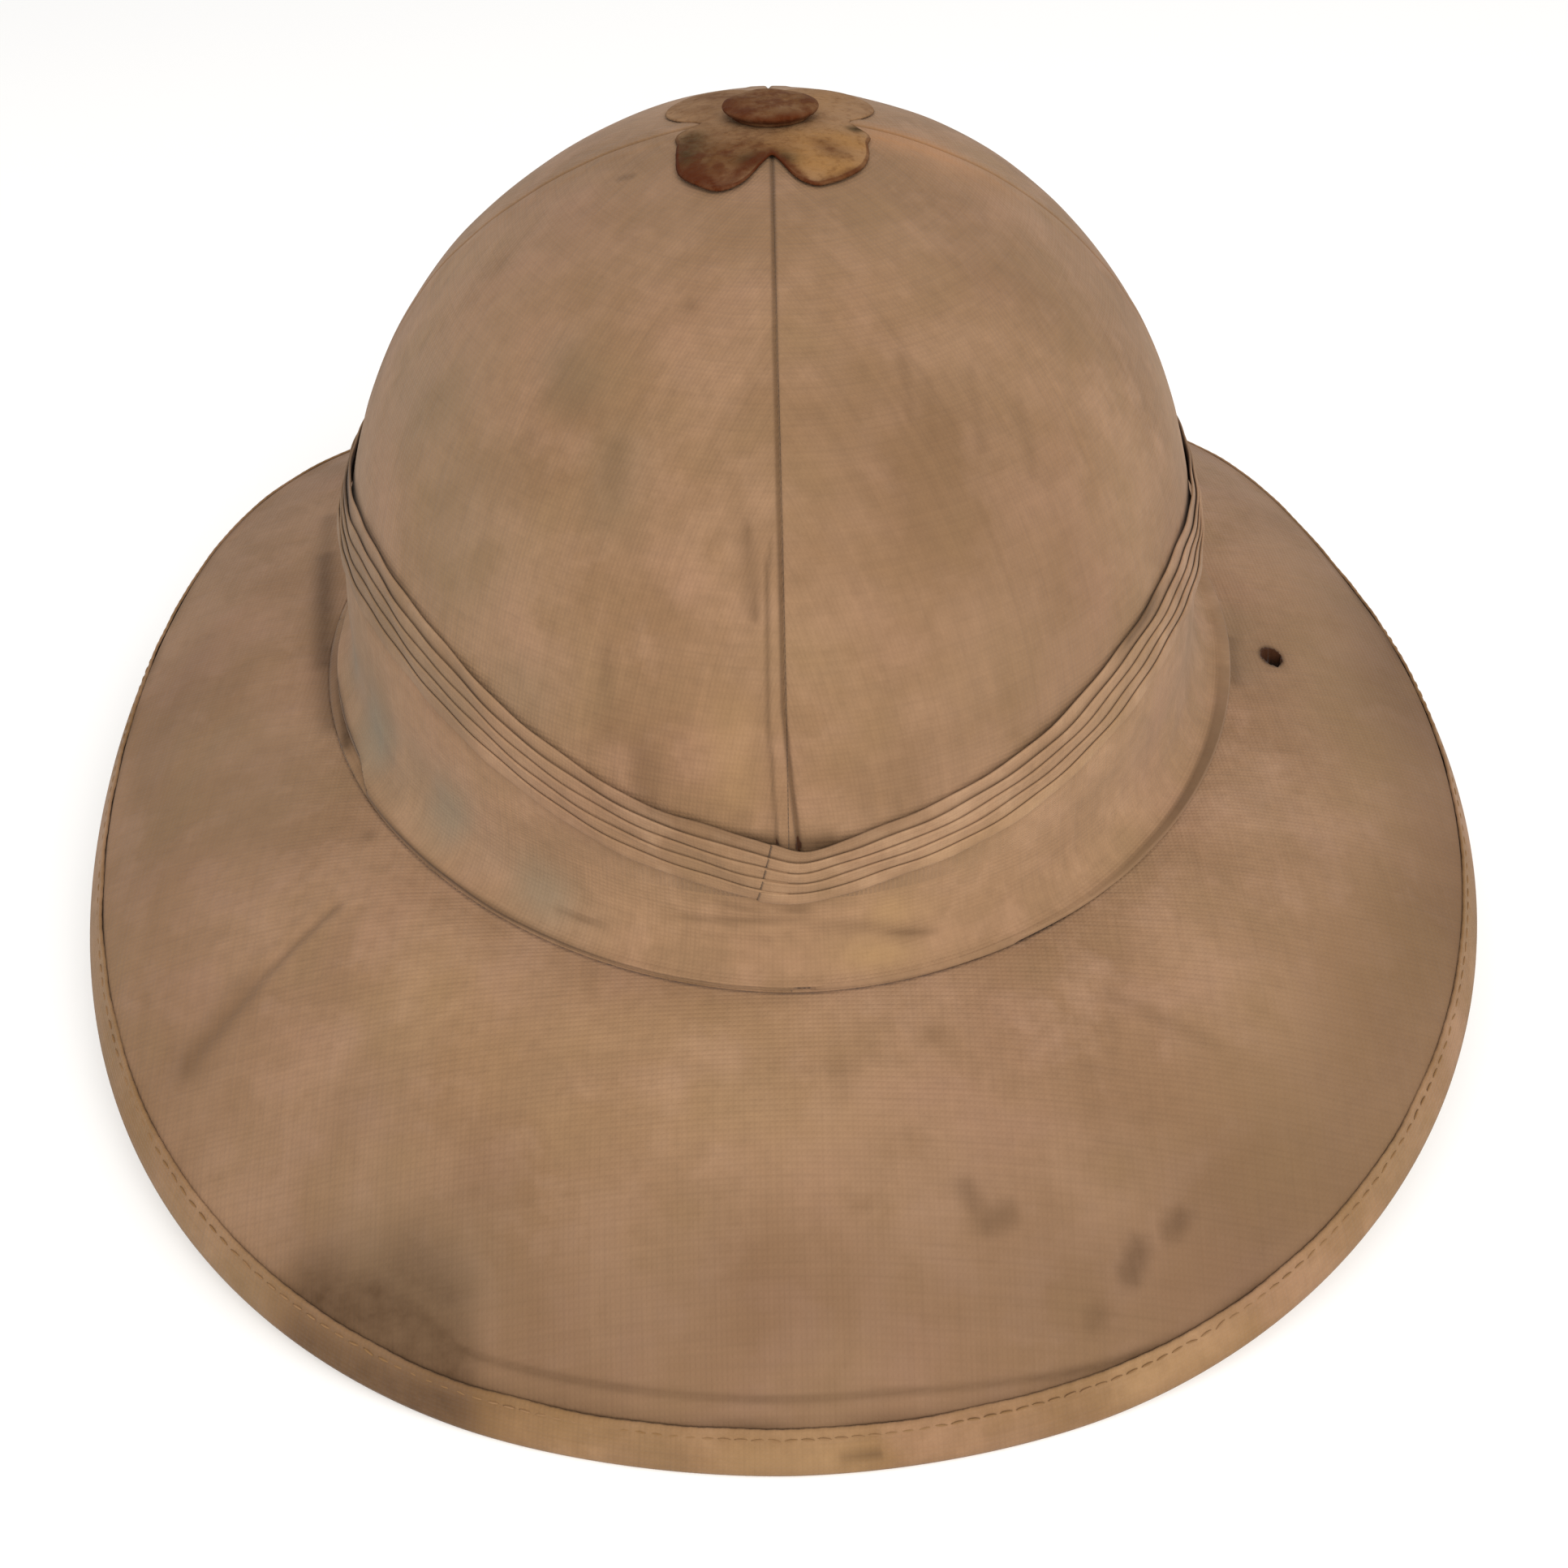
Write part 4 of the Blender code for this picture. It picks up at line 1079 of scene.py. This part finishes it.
def make_lower_band():
    """Strip from behind the pleats down over the flare to its turned-under foot edge."""
    bearing = crowded_bearings(BAND_COLUMNS, np.radians([0.0, 12.0, -60.0]), 0.12, 1.5)[None, :]
    low = table_curve(bearing, PLEAT_EDGES, 1) * MM
    wall_foot = FLARE_RISE - BRIM_START_DROP
    share = np.linspace(1.0, 0.0, BAND_WALL_ROWS)[:-1, None]
    height = wall_foot + (low + BAND_TUCK - wall_foot) * share
    turn = np.linspace(0.0, 0.5 * math.pi, BAND_FLARE_ROWS)[:, None]
    away = come_away(bearing)
    reach = BAND_FOOT_REACH + BAND_RIGHT_REACH * np.clip(np.sin(bearing), 0.0, 1.0) ** 2
    reach = reach - BAND_LEFT_SHRINK * away

    def layer(offset):
        """One face of the strip at a distance from the crown."""
        foot = crown_point(bearing, 0.0, reach)
        foot[..., 2] += offset - BRIM_START_DROP
        wall = crown_point(bearing, height, offset + 0.0 * height)
        flat = np.concatenate([wall, flare_point(bearing, turn, offset), foot])
        # The rows past the foot edge are drawn in, so that the edge lies where it should.
        radius = plan_radius(flat)
        factor = np.minimum(radius, plan_radius(foot)) / radius
        flat[..., :2] = CROWN_CENTRE + (flat[..., :2] - CROWN_CENTRE) * factor[..., None]
        edge_rise = flare_rise(np.arccos(np.clip(1.0 - reach / FLARE_REACH, 0.0, 1.0)))
        flat[..., 2] = np.maximum(flat[..., 2], CROWN_FOOT_Z + edge_rise + offset)
        return flat

    inside, outside = layer(BAND_SEAT), layer(BAND_SEAT + BAND_THICKNESS)
    rows = len(outside)
    level = np.concatenate([
        height + 0.0 * bearing,
        flare_rise(turn) + 0.0 * bearing,
        np.full_like(bearing, -BRIM_START_DROP - 0.001),
    ])
    place = as_points(bearing * BAND_RADIUS, band_climb(level))
    relief = uneven(outside, BAND_UNEVEN)
    for start, end, width, raised in BAND_WRINKLES:
        way, distance = from_line(place, on_band(start), on_band(end))
        shown = window(way, -0.15, 0.3, 0.7, 1.15) * bell(distance, width * MM)
        relief = relief + raised * MM * shown
    hem = HEM_RAISE * smooth_step(level, HEM_WIDTH, 0.0) + 0.0001
    relief = np.maximum(relief + hem, -0.55 * BAND_THICKNESS)
    # Under the pleats the strip lies flat.
    relief *= smooth_step(-np.arange(rows)[:, None], 0, -3) * 0.9 + 0.1
    lift = BAND_LEFT_LIFT * away * smooth_step(level, 0.008, -0.001)
    outside = outside + grid_normals(outside) * relief[..., None]
    outside[..., 2] += lift
    inside[..., 2] += lift
    edge = 0.5 * (outside[-1:] + inside[-1:])
    edge[..., :2] += unit(edge[..., :2] - CROWN_CENTRE) * 0.5 * BAND_THICKNESS
    grid = np.concatenate([outside, edge, inside[::-1], outside[:1]])
    grid[:, -1] = grid[:, 0]
    marks = np.zeros(grid.shape[:2] + (4,))
    for kind, table in BAND_MARKS.items():
        for start, end, radius, strength in table:
            way, distance = from_line(place, on_band(start), on_band(end))
            taper = 0.25 + 0.75 * np.sin(math.pi * np.clip(way, 0.0, 1.0))
            shown = strength * taper * bell(distance, radius * MM)
            marks[:rows, :, CHANNELS.index(kind)] += shown
    # Dirt and painted shade along the foot edge.
    marks[:rows + 2, :, 0] += FOOT_SOIL_AND_SHADE * smooth_step(np.arange(rows + 2)[:, None], rows - 4, rows)
    run = np.concatenate([band_climb(level[:, 0]), [0.0], band_climb(level[::-1, 0]), [0.0]])
    uv = as_points(bearing * BAND_RADIUS, run[:, None])
    cotton = woven_cotton("grey_khaki_cotton_band", BAND_COLOURS, grey_soil_and_shade=BAND_GREY)
    return make_piece("plain_band", grid, cotton, uv, marks)


band = make_lower_band()
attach(band, "root")
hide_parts("lower_band")


# ---------------------------------------------------------------- pleated band
# The puggaree is a long strip of thin cotton laid in five narrow folds, each tucked behind the
# one below it.  It goes once round, and its two ends cross in a shallow V at the neck.

FOLD_COUNT = 5
FOLD_CLOTH = 0.00034          # thickness of the thin cotton
FOLD_TUCK = 0.60              # a fold goes this share of its width behind the one below
FOLD_DEPTH = 0.00095          # from a fold's root to its ridge
PLEAT_SEAT = 0.0002           # between the crown and the back of the folds
TOP_FOLD_SHARE = 0.55         # the topmost ridge lies closer to the crown
PLEAT_FOOT_STAND = 0.0011     # the lowest fold stands out further than the highest by this
CROSSING_BEARING = math.radians(-2.7)
CROSSING_TUCK = math.radians(2.6)
CROSSING_STAND = 0.00024
CROSSING_LEAN = math.radians(1.6)    # its upper end lies further along
PLEAT_COLUMNS = 380
# Slack in the folds: height, waves for each radian round, turn of the wave across the strip.
PLEAT_SLACK = ((0.00012, 17.0, 5.0), (0.00010, 41.0, 9.0))
ROOT_DIRT_AND_SHADE = 0.36              # dirt and painted shade in the roots of the folds
PLEAT_DIRT_AND_SHADE_LIMIT = 0.90
THIN_THREAD_PITCH = 0.0007
PLEAT_COLOURS = ("97775B", "896A4E", "AA8B6D")
# Marks by kind: bearing of both ends, share of the band's width, its spread, strength.
PLEAT_MARKS = dict(
    soil_and_shade=(
        (46, 51, 0.98, 0.1, 0.75), (82, 118, 0.95, 0.25, 0.5), (-98, -80, 0.75, 0.35, 0.45),
        # The last row on this line and the row on the next are broad painted shade on the band's
        # left.
        (-82, -76, 0.85, 0.14, 0.8), (-14, 12, 1.02, 0.1, 0.35), (-72, -6, 0.5, 0.9, 0.08),
        (-84, -56, 0.5, 0.9, 0.12),
    ),
    grey=(
        (-80, -40, 0.4, 0.6, 0.35),
    ),
    yellow=(
        (16, 40, 0.1, 0.2, 0.25),
    ),
)


def fold_profile():
    """Path across the folded cloth, as pairs of share of the band's width and depth outwards.

    Each fold climbs outwards from its root, hidden behind the fold below, to its ridge, turns
    over and goes back down to the root of the next.  The first numbers of the pairs below are
    in folds.
    """
    points = [(0.0, 0.55), (-0.10, 0.30), (-0.06, 0.06)]
    for fold in range(FOLD_COUNT):
        first, last = fold == 0, fold == FOLD_COUNT - 1
        root = 0.05 if first else fold - FOLD_TUCK
        start = 0.66 if first else 0.05
        ridge = fold + 0.97
        peak = TOP_FOLD_SHARE if last else 1.0
        if first:
            points += [(0.35, 0.10), (0.02, 0.24), (-0.02, 0.62)]
        else:
            points += [(root + 0.04, 0.10), (root - 0.03, 0.02), (root + 0.10, -0.06)]
        points += [(root + (ridge - root) * share, start + (peak - start) * share)
                   for share in (0.35, 0.60, 0.80, 0.93)]
        points += [(ridge, peak), (ridge + 0.03, peak - 0.07), (ridge, peak - 0.14)]
        if last:
            points += [(ridge - 0.25, peak - 0.35), (ridge - 0.60, peak - 0.50)]
        else:
            points += [(ridge - 0.20, 0.70), (ridge - 0.45, 0.45)]
    return np.array(points) * (1.0 / FOLD_COUNT, 1.0)


def make_pleated_band():
    """The folded strip carried once round the crown, its end tucked under its beginning."""
    turns = crowded_bearings(PLEAT_COLUMNS, np.radians([177.0, -177.0]), 0.06, 2.0) + math.pi
    turns = turns / (2.0 * math.pi) * (2.0 * math.pi + CROSSING_TUCK)
    wrapped = np.angle(np.exp(1j * (CROSSING_BEARING + turns)))
    low = table_curve(wrapped, PLEAT_EDGES, 1) * MM
    high = table_curve(wrapped, PLEAT_EDGES, 2) * MM
    path = rounded_path(fold_profile(), 1)
    share, depth = path[:, :1], path[:, 1:] * FOLD_DEPTH
    rise = low + (high - low) * share
    lean = CROSSING_LEAN * (share - 0.5)
    around = wrapped[None, :] + lean * (1.0 - smooth_step(turns, 0.0, math.radians(6.0)))
    over = CROSSING_STAND * (1.0 - smooth_step(turns, math.radians(2.0), math.radians(9.0)))
    slack = sum(size * np.sin(turns * rate + twist * share) for size, rate, twist in PLEAT_SLACK)
    half = 0.5 * FOLD_CLOTH
    offset = PLEAT_SEAT + half + 0.0002 + depth + PLEAT_FOOT_STAND * (1.0 - share) + over + slack
    # Thickness: the path's own left side, worked out across the strip at each bearing.
    way = unit(np.gradient(as_points(rise, offset), axis=0)) * half
    front = crown_point(around, rise - way[..., 1], offset + way[..., 0])
    back = crown_point(around, rise + way[..., 1], offset - way[..., 0])
    grid = np.concatenate([front[::-1], back, front[-1:]])
    # Both ends of the strip close on the middle of the cloth.
    middle = crown_point(around, rise, offset)
    ends = np.concatenate([middle[::-1], middle, middle[-1:]])
    grid[:, [0, -1]] = ends[:, [0, -1]]
    both = np.concatenate([path[::-1], path, path[-1:]])[:, None]
    shares, depths = both[..., 0], both[..., 1]
    marks = np.zeros(grid.shape[:2] + (4,))
    degrees = np.degrees(wrapped)[None, :]
    for kind, table in PLEAT_MARKS.items():
        for start, end, at, width, strength in table:
            along = np.maximum(np.maximum(start - degrees, degrees - end), 0.0)
            shown = strength * bell(along, 3.0) * bell(shares - at, width)
            marks[..., CHANNELS.index(kind)] += shown
    # Dirt and painted shade in the roots of the folds.
    soil_and_shade = marks[..., 0] + ROOT_DIRT_AND_SHADE * smooth_step(depths, 0.60, 0.10)
    marks[..., 0] = np.minimum(soil_and_shade, PLEAT_DIRT_AND_SHADE_LIMIT)
    length = run_along(path * [0.012, FOLD_DEPTH])
    run = np.concatenate([length[::-1], length, length[-1:]])
    uv = as_points(turns[None, :] * 0.1, run[:, None])
    cotton = woven_cotton("thin_khaki_cotton_folds", PLEAT_COLOURS, THIN_THREAD_PITCH, 0.6)
    return make_piece("folded_band", grid, cotton, uv, marks)


pleats = make_pleated_band()
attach(pleats, "root")
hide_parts("pleated_band")


# ---------------------------------------------------------------- cap and button
# A four-lobed cap of thin sheet metal, once painted khaki, covers the vent at the top; its
# notches lie on the seams.  A low domed button of the same metal is riveted on its middle.
# Both are rusted through their paint, and their rust has bled onto the cloth.

# Outline of the cap: bearing, radius in mm.
CAP_OUTLINE = (
    (-180, 16.5), (-170, 21.5), (-160, 26.5), (-148, 28), (-135, 26.5), (-120, 23.5),
    (-106, 18.5), (-97, 14.2), (-90, 13.2), (-84, 14.8), (-78, 17.6), (-64, 19.4), (-52, 22.2),
    (-40, 26), (-30, 27.5), (-19, 27.6), (-12, 24.8), (-5, 18.7), (0, 16.4), (4.5, 18.6),
    (10, 23.7), (16, 26.2), (24, 26.4), (34, 25.6), (51, 22.7), (63, 20), (76, 18.8), (83, 16.4),
    (90, 14.9), (97, 15.5), (106, 18.7), (120, 23.5), (135, 26.5), (148, 28), (160, 26.5),
    (170, 21.5), (180, 16.5),
)
CAP_THICKNESS = 0.0006
CAP_GAP = 0.0002              # between the crown and the cap
BUTTON_BASE = 0.0016          # the button's foot above the top of the crown
CAP_CURL = 0.00030            # the front lobes' tips stand off the crown
CAP_DROOP = -0.0002           # and the back ones lie against it
CAP_DENTS = 0.00030
# Darkens the cap's edge at the front: rust, and painted shade along the lobes' edges.
CAP_EDGE_RUST_AND_SHADE = 0.65
CAP_COLUMNS = 288
CAP_ROWS = 60
# Marks in plan: the darkest kind is dark rust, rust is brown rust, grey is greenish dirt, and
#  yellow is the tan paint that is left.
CAP_MARKS = dict(
    rust=(
        ((-6, -8), (-14, -10), 9.5, 0.95), ((11.5, -4.5), (14, -7), 2.4, 0.7),
        ((8.5, -19), (18.5, -12), 1.2, 0.6), ((-13, 8), (-9, 18), 3, 0.3),
        ((-6, 24), (-12, 28), 4, 0.4),
    ),
    soil_and_shade=(
        ((-6.5, -19), (-15.5, -13), 3.4, 1), ((-15.5, -12), (-17.5, -5), 2.2, 0.75),
        ((-8, -18.5), (0.5, -9.5), 1.7, 0.85), ((1.9, -8.5), (8.5, -18.5), 1.1, 0.8),
        ((0, 24), (2.5, 26), 2, 0.45),
    ),
    grey=(
        ((-14, -8), (-13.5, 0), 3.6, 0.9), ((-2, -11), (4, -10.5), 2.6, 0.9),
        ((-17, 3.5), (-14, 7), 1.6, 0.9), ((17.5, 4), (19.2, 5.4), 1.5, 0.95),
    ),
    yellow=(
        ((4.5, -9), (15.5, -12.5), 7, 1), ((8, -4), (17, -2), 5.5, 0.85),
        ((10, 16), (14, 26), 5, 0.4),
    ),
)
CAP_PAINT = "8A6B4E"
CAP_TAN = "8E683E"
CAP_RUST = "5F3F23"
CAP_DARK_RUST = "481F07"
CAP_DIRT = "3E2F18"
BUTTON_MARKS = dict(
    rust=(
        ((-3, 7.5), (6, 7.5), 12, 0.92),
    ),
    soil_and_shade=(
        ((-7, 7), (-4, 1), 3.6, 0.8), ((-5.5, 0.2), (1.9, -1.2), 1.7, 0.95),
        ((1.9, -1.2), (9.5, 1.2), 1.7, 0.9),
    ),
    yellow=(
        ((8, 6), (11, 10), 3, 0.35),
    ),
)
# Outline of the button from its rivet's collar to the top: radius, height above its foot, mm.
BUTTON_OUTLINE = (
    (0, -1.2), (7, -1.2), (7.4, 0), (8, 0), (8.6, 0.4), (8.9, 1), (8.2, 1.5), (6, 1.85), (3, 2),
    (0, 2.05),
)
BUTTON_STRETCH = (1.04, 0.92)        # it is a little wider across than along
BUTTON_COLUMNS = 160
BUTTON_PITTING = 0.00012
BUTTON_PITTED_FROM = 0.0011   # above its foot; the underside is smooth


def dome_height(share):
    """Height above the foot where the dome's plan has shrunk to a share."""
    return CROWN_HEIGHT * (1.0 - share ** DOME_RADIUS_POWER) ** (1.0 / DOME_HEIGHT_POWER)


def rusted_paint(name):
    """Khaki oil paint on sheet iron, long rusted: dull, pitted and crusty, with brown rust in
    patches, dark at the edges with rust and painted shade, and tan paint where the marks
    attribute keeps it."""
    material, tree, shader = new_material(name, {"Specular IOR Level": 0.12})
    place = add_node(tree, "TexCoord").outputs["Object"]
    # Noises: size of their lumps in metres, detail, roughness.
    noises = ((0.0065, 5.0, 0.62), (0.0016, 4.0, 0.65), (0.0005, 2.0, 0.55), (0.0042, 4.0, 0.60))
    patch, crust, grit, scabs = (
        add_node(tree, "TexNoise", {0: place, "Scale": 1.0 / size, "Detail": detail,
                                    "Roughness": rough})
        for size, detail, rough in noises
    )
    rust, dark_rust = linear(CAP_RUST), linear(CAP_DARK_RUST)
    colour = layer_colours(tree, linear(CAP_PAINT), ((patch, 0.46, 0.66, 0.40, rust),))
    broken = add_up(tree, ((patch, 0.35, 0.65, 0.80, 1.15), (crust, 0.3, 0.7, -0.12, 0.12)))
    tones = {"yellow": CAP_TAN, "rust": CAP_RUST, "grey": CAP_DIRT, "soil_and_shade": CAP_DARK_RUST}
    colour, strengths = add_marks(tree, colour, broken, tones)
    # Where brown rust has taken over, darker scabs stand on it.
    scab = add_node(tree, "MapRange", {0: scabs, 1: 0.47, 2: 0.60, 3: 0.04, 4: 0.75})
    scab = add_node(tree, "Math", {0: strengths["rust"], 1: scab}, operation="MULTIPLY")
    darker = ((scab, 0.0, 1.0, 1.0, dark_rust), (crust, 0.52, 0.72, 0.38, dark_rust))
    tree.links.new(layer_colours(tree, colour, darker), shader.inputs["Base Color"])
    rough = add_node(tree, "MapRange", {0: crust, 1: 0.35, 2: 0.65, 3: 0.84, 4: 0.98})
    tree.links.new(rough.outputs[0], shader.inputs["Roughness"])
    add_relief(tree, shader, ((patch, 0.0009), (crust, 0.00035), (grit, 0.00008)))
    return material


def cap_surface(bearing, fraction, lift):
    """Point over the crown's top at a share of the cap's outline, lifted off the dome."""
    radius = table_curve(bearing, CAP_OUTLINE, 1) * MM * fraction
    x, y = radius * np.sin(bearing), -radius * np.cos(bearing)
    share = np.hypot(x / CROWN_HALF_WIDTH, y / CROWN_NECK_LENGTH)
    z = CROWN_FOOT_Z + dome_height(share) + lift
    return as_points(x + CROWN_CENTRE[0], y + CROWN_CENTRE[1], z)


def make_cap(metal):
    """Lobed sheet: top, rounded edge and underside, its lobes a little curled and dented."""
    bearing = np.linspace(-math.pi, math.pi, CAP_COLUMNS + 1)[None, :]
    fraction = np.linspace(0.0, 1.0, CAP_ROWS + 1)[:, None] ** 0.8
    lobes = np.sin(2.0 * bearing) ** 2
    flat = cap_surface(bearing, fraction, 0.0)
    front = smooth_step(np.cos(bearing), -0.2, 0.5)
    curl = CAP_CURL * lobes * front * smooth_step(fraction, 0.55, 1.0)
    curl = curl * (0.7 + 0.6 * soft_noise(flat, 0.03, 61))
    curl = curl + CAP_DROOP * (1.0 - front) * smooth_step(fraction, 0.3, 1.0)
    dents = CAP_DENTS * soft_noise(flat, 0.012, 62) * smooth_step(fraction, 0.45, 0.7) * front
    under_lift = CAP_GAP + np.maximum(curl + dents, CAP_DROOP)
    top = cap_surface(bearing, fraction, under_lift + CAP_THICKNESS)
    under = cap_surface(bearing, fraction * 0.985, under_lift)
    rim = cap_surface(bearing, fraction[-1:] * 1.012, under_lift[-1:] + 0.45 * CAP_THICKNESS)
    grid = np.concatenate([top, rim, under[::-2]])
    grid[:, -1] = grid[:, 0]
    marks = paint_marks(grid, CAP_MARKS)
    # The edge is darker most at the front: rust, and painted shade along the lobes' edges.
    edge = slice(len(top) - 2, len(top) + 4)
    marks[edge, :, 0] += CAP_EDGE_RUST_AND_SHADE * front
    return make_piece("vent_cap_rusted", grid, metal, marks=marks)


def make_button(metal):
    """Flat button with a soft edge: its outline turned round, stretched a little across."""
    bearing = np.linspace(-math.pi, math.pi, BUTTON_COLUMNS + 1)[None, :]
    outline = rounded_path(np.array(BUTTON_OUTLINE)[::-1] * MM, 3)
    radius, height = outline[:, :1], outline[:, 1:]
    x = CROWN_CENTRE[0] + BUTTON_STRETCH[0] * radius * np.sin(bearing)
    y = CROWN_CENTRE[1] - BUTTON_STRETCH[1] * radius * np.cos(bearing)
    grid = as_points(x, y, CROWN_FOOT_Z + CROWN_HEIGHT + BUTTON_BASE + height)
    grid[..., 2] += BUTTON_PITTING * soft_noise(grid, 0.007, 63) * (height > BUTTON_PITTED_FROM)
    # The middle of its top stays one point.
    grid[0, :, 2] = grid[0, :, 2].mean()
    grid[:, -1] = grid[:, 0]
    marks = paint_marks(grid, BUTTON_MARKS)
    return make_piece("vent_button_rusted", grid, metal, marks=marks)


rusted = rusted_paint("khaki_paint_on_rusted_sheet_iron")
cap = make_cap(rusted)
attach(cap, "root")
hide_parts("vent_cap")
button = make_button(rusted)
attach(button, "root")
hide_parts("vent_button")


# ---------------------------------------------------------------- floor, light and camera
# A plain white table under even light, with one broad soft lamp, a little warm, high on the
# right behind the camera.  The camera looks down on the neck end, as in the photograph.

FLOOR_SIZE = 12.0
FLOOR_WHITE = 0.96
WORLD_STRENGTH = 0.82
KEY_POWER = 22.5
KEY_SIZE = 1.6
KEY_PLACE = (0.32, -1.20, 1.15)
KEY_COLOUR = (1.0, 0.95, 0.88)
KEY_AIM = (0.0, 0.0, 0.05)
CAMERA_PLACE = (-0.0010, -0.2950, 0.2629)
CAMERA_AIM = (0.0024, 0.0075, -0.0109)
CAMERA_ROLL = math.radians(-0.936)
CAMERA_LENS = 35.54
CAMERA_SENSOR = 36.0


def make_floor():
    """Flat white floor."""
    half = 0.5 * FLOOR_SIZE
    corners = [(-half, -half, 0.0), (half, -half, 0.0), (half, half, 0.0), (-half, half, 0.0)]
    mesh = bpy.data.meshes.new("floor")
    mesh.from_pydata(corners, [], [(0, 1, 2, 3)])
    white = (FLOOR_WHITE, FLOOR_WHITE, FLOOR_WHITE, 1.0)
    finish = {"Base Color": white, "Roughness": 1.0, "Specular IOR Level": 0.0}
    mesh.materials.append(new_material("white_paper_floor", finish)[0])
    floor = new_object("floor", mesh)


def aimed(place, target):
    """Matrix that puts a lamp or camera at a place and turns its -Z towards a target."""
    aim = (Vector(target) - Vector(place)).to_track_quat("-Z", "Y")
    return Matrix.Translation(place) @ aim.to_matrix().to_4x4()


def make_light():
    """Even white surroundings and one large soft lamp."""
    world = bpy.data.worlds.new("plain_white")
    world.use_nodes = True
    background = world.node_tree.nodes["Background"]
    background.inputs[0].default_value = (1.0, 1.0, 1.0, 1.0)
    background.inputs[1].default_value = WORLD_STRENGTH
    bpy.context.scene.world = world
    lamp = bpy.data.lights.new("soft_key", "AREA")
    lamp.shape = "DISK"
    lamp.size = KEY_SIZE
    lamp.energy = KEY_POWER
    lamp.color = KEY_COLOUR
    new_object("soft_key", lamp).matrix_world = aimed(KEY_PLACE, KEY_AIM)


def make_camera():
    """Camera at the photograph's place, turned a little about its own axis."""
    data = bpy.data.cameras.new("camera")
    data.lens = CAMERA_LENS
    data.sensor_width = CAMERA_SENSOR
    data.clip_start = 0.01
    camera = new_object("camera", data)
    roll = Matrix.Rotation(CAMERA_ROLL, 4, "Z")
    camera.matrix_world = aimed(CAMERA_PLACE, CAMERA_AIM) @ roll
    bpy.context.scene.camera = camera


make_floor()
make_light()
make_camera()
bpy.context.scene.view_settings.view_transform = "Standard"
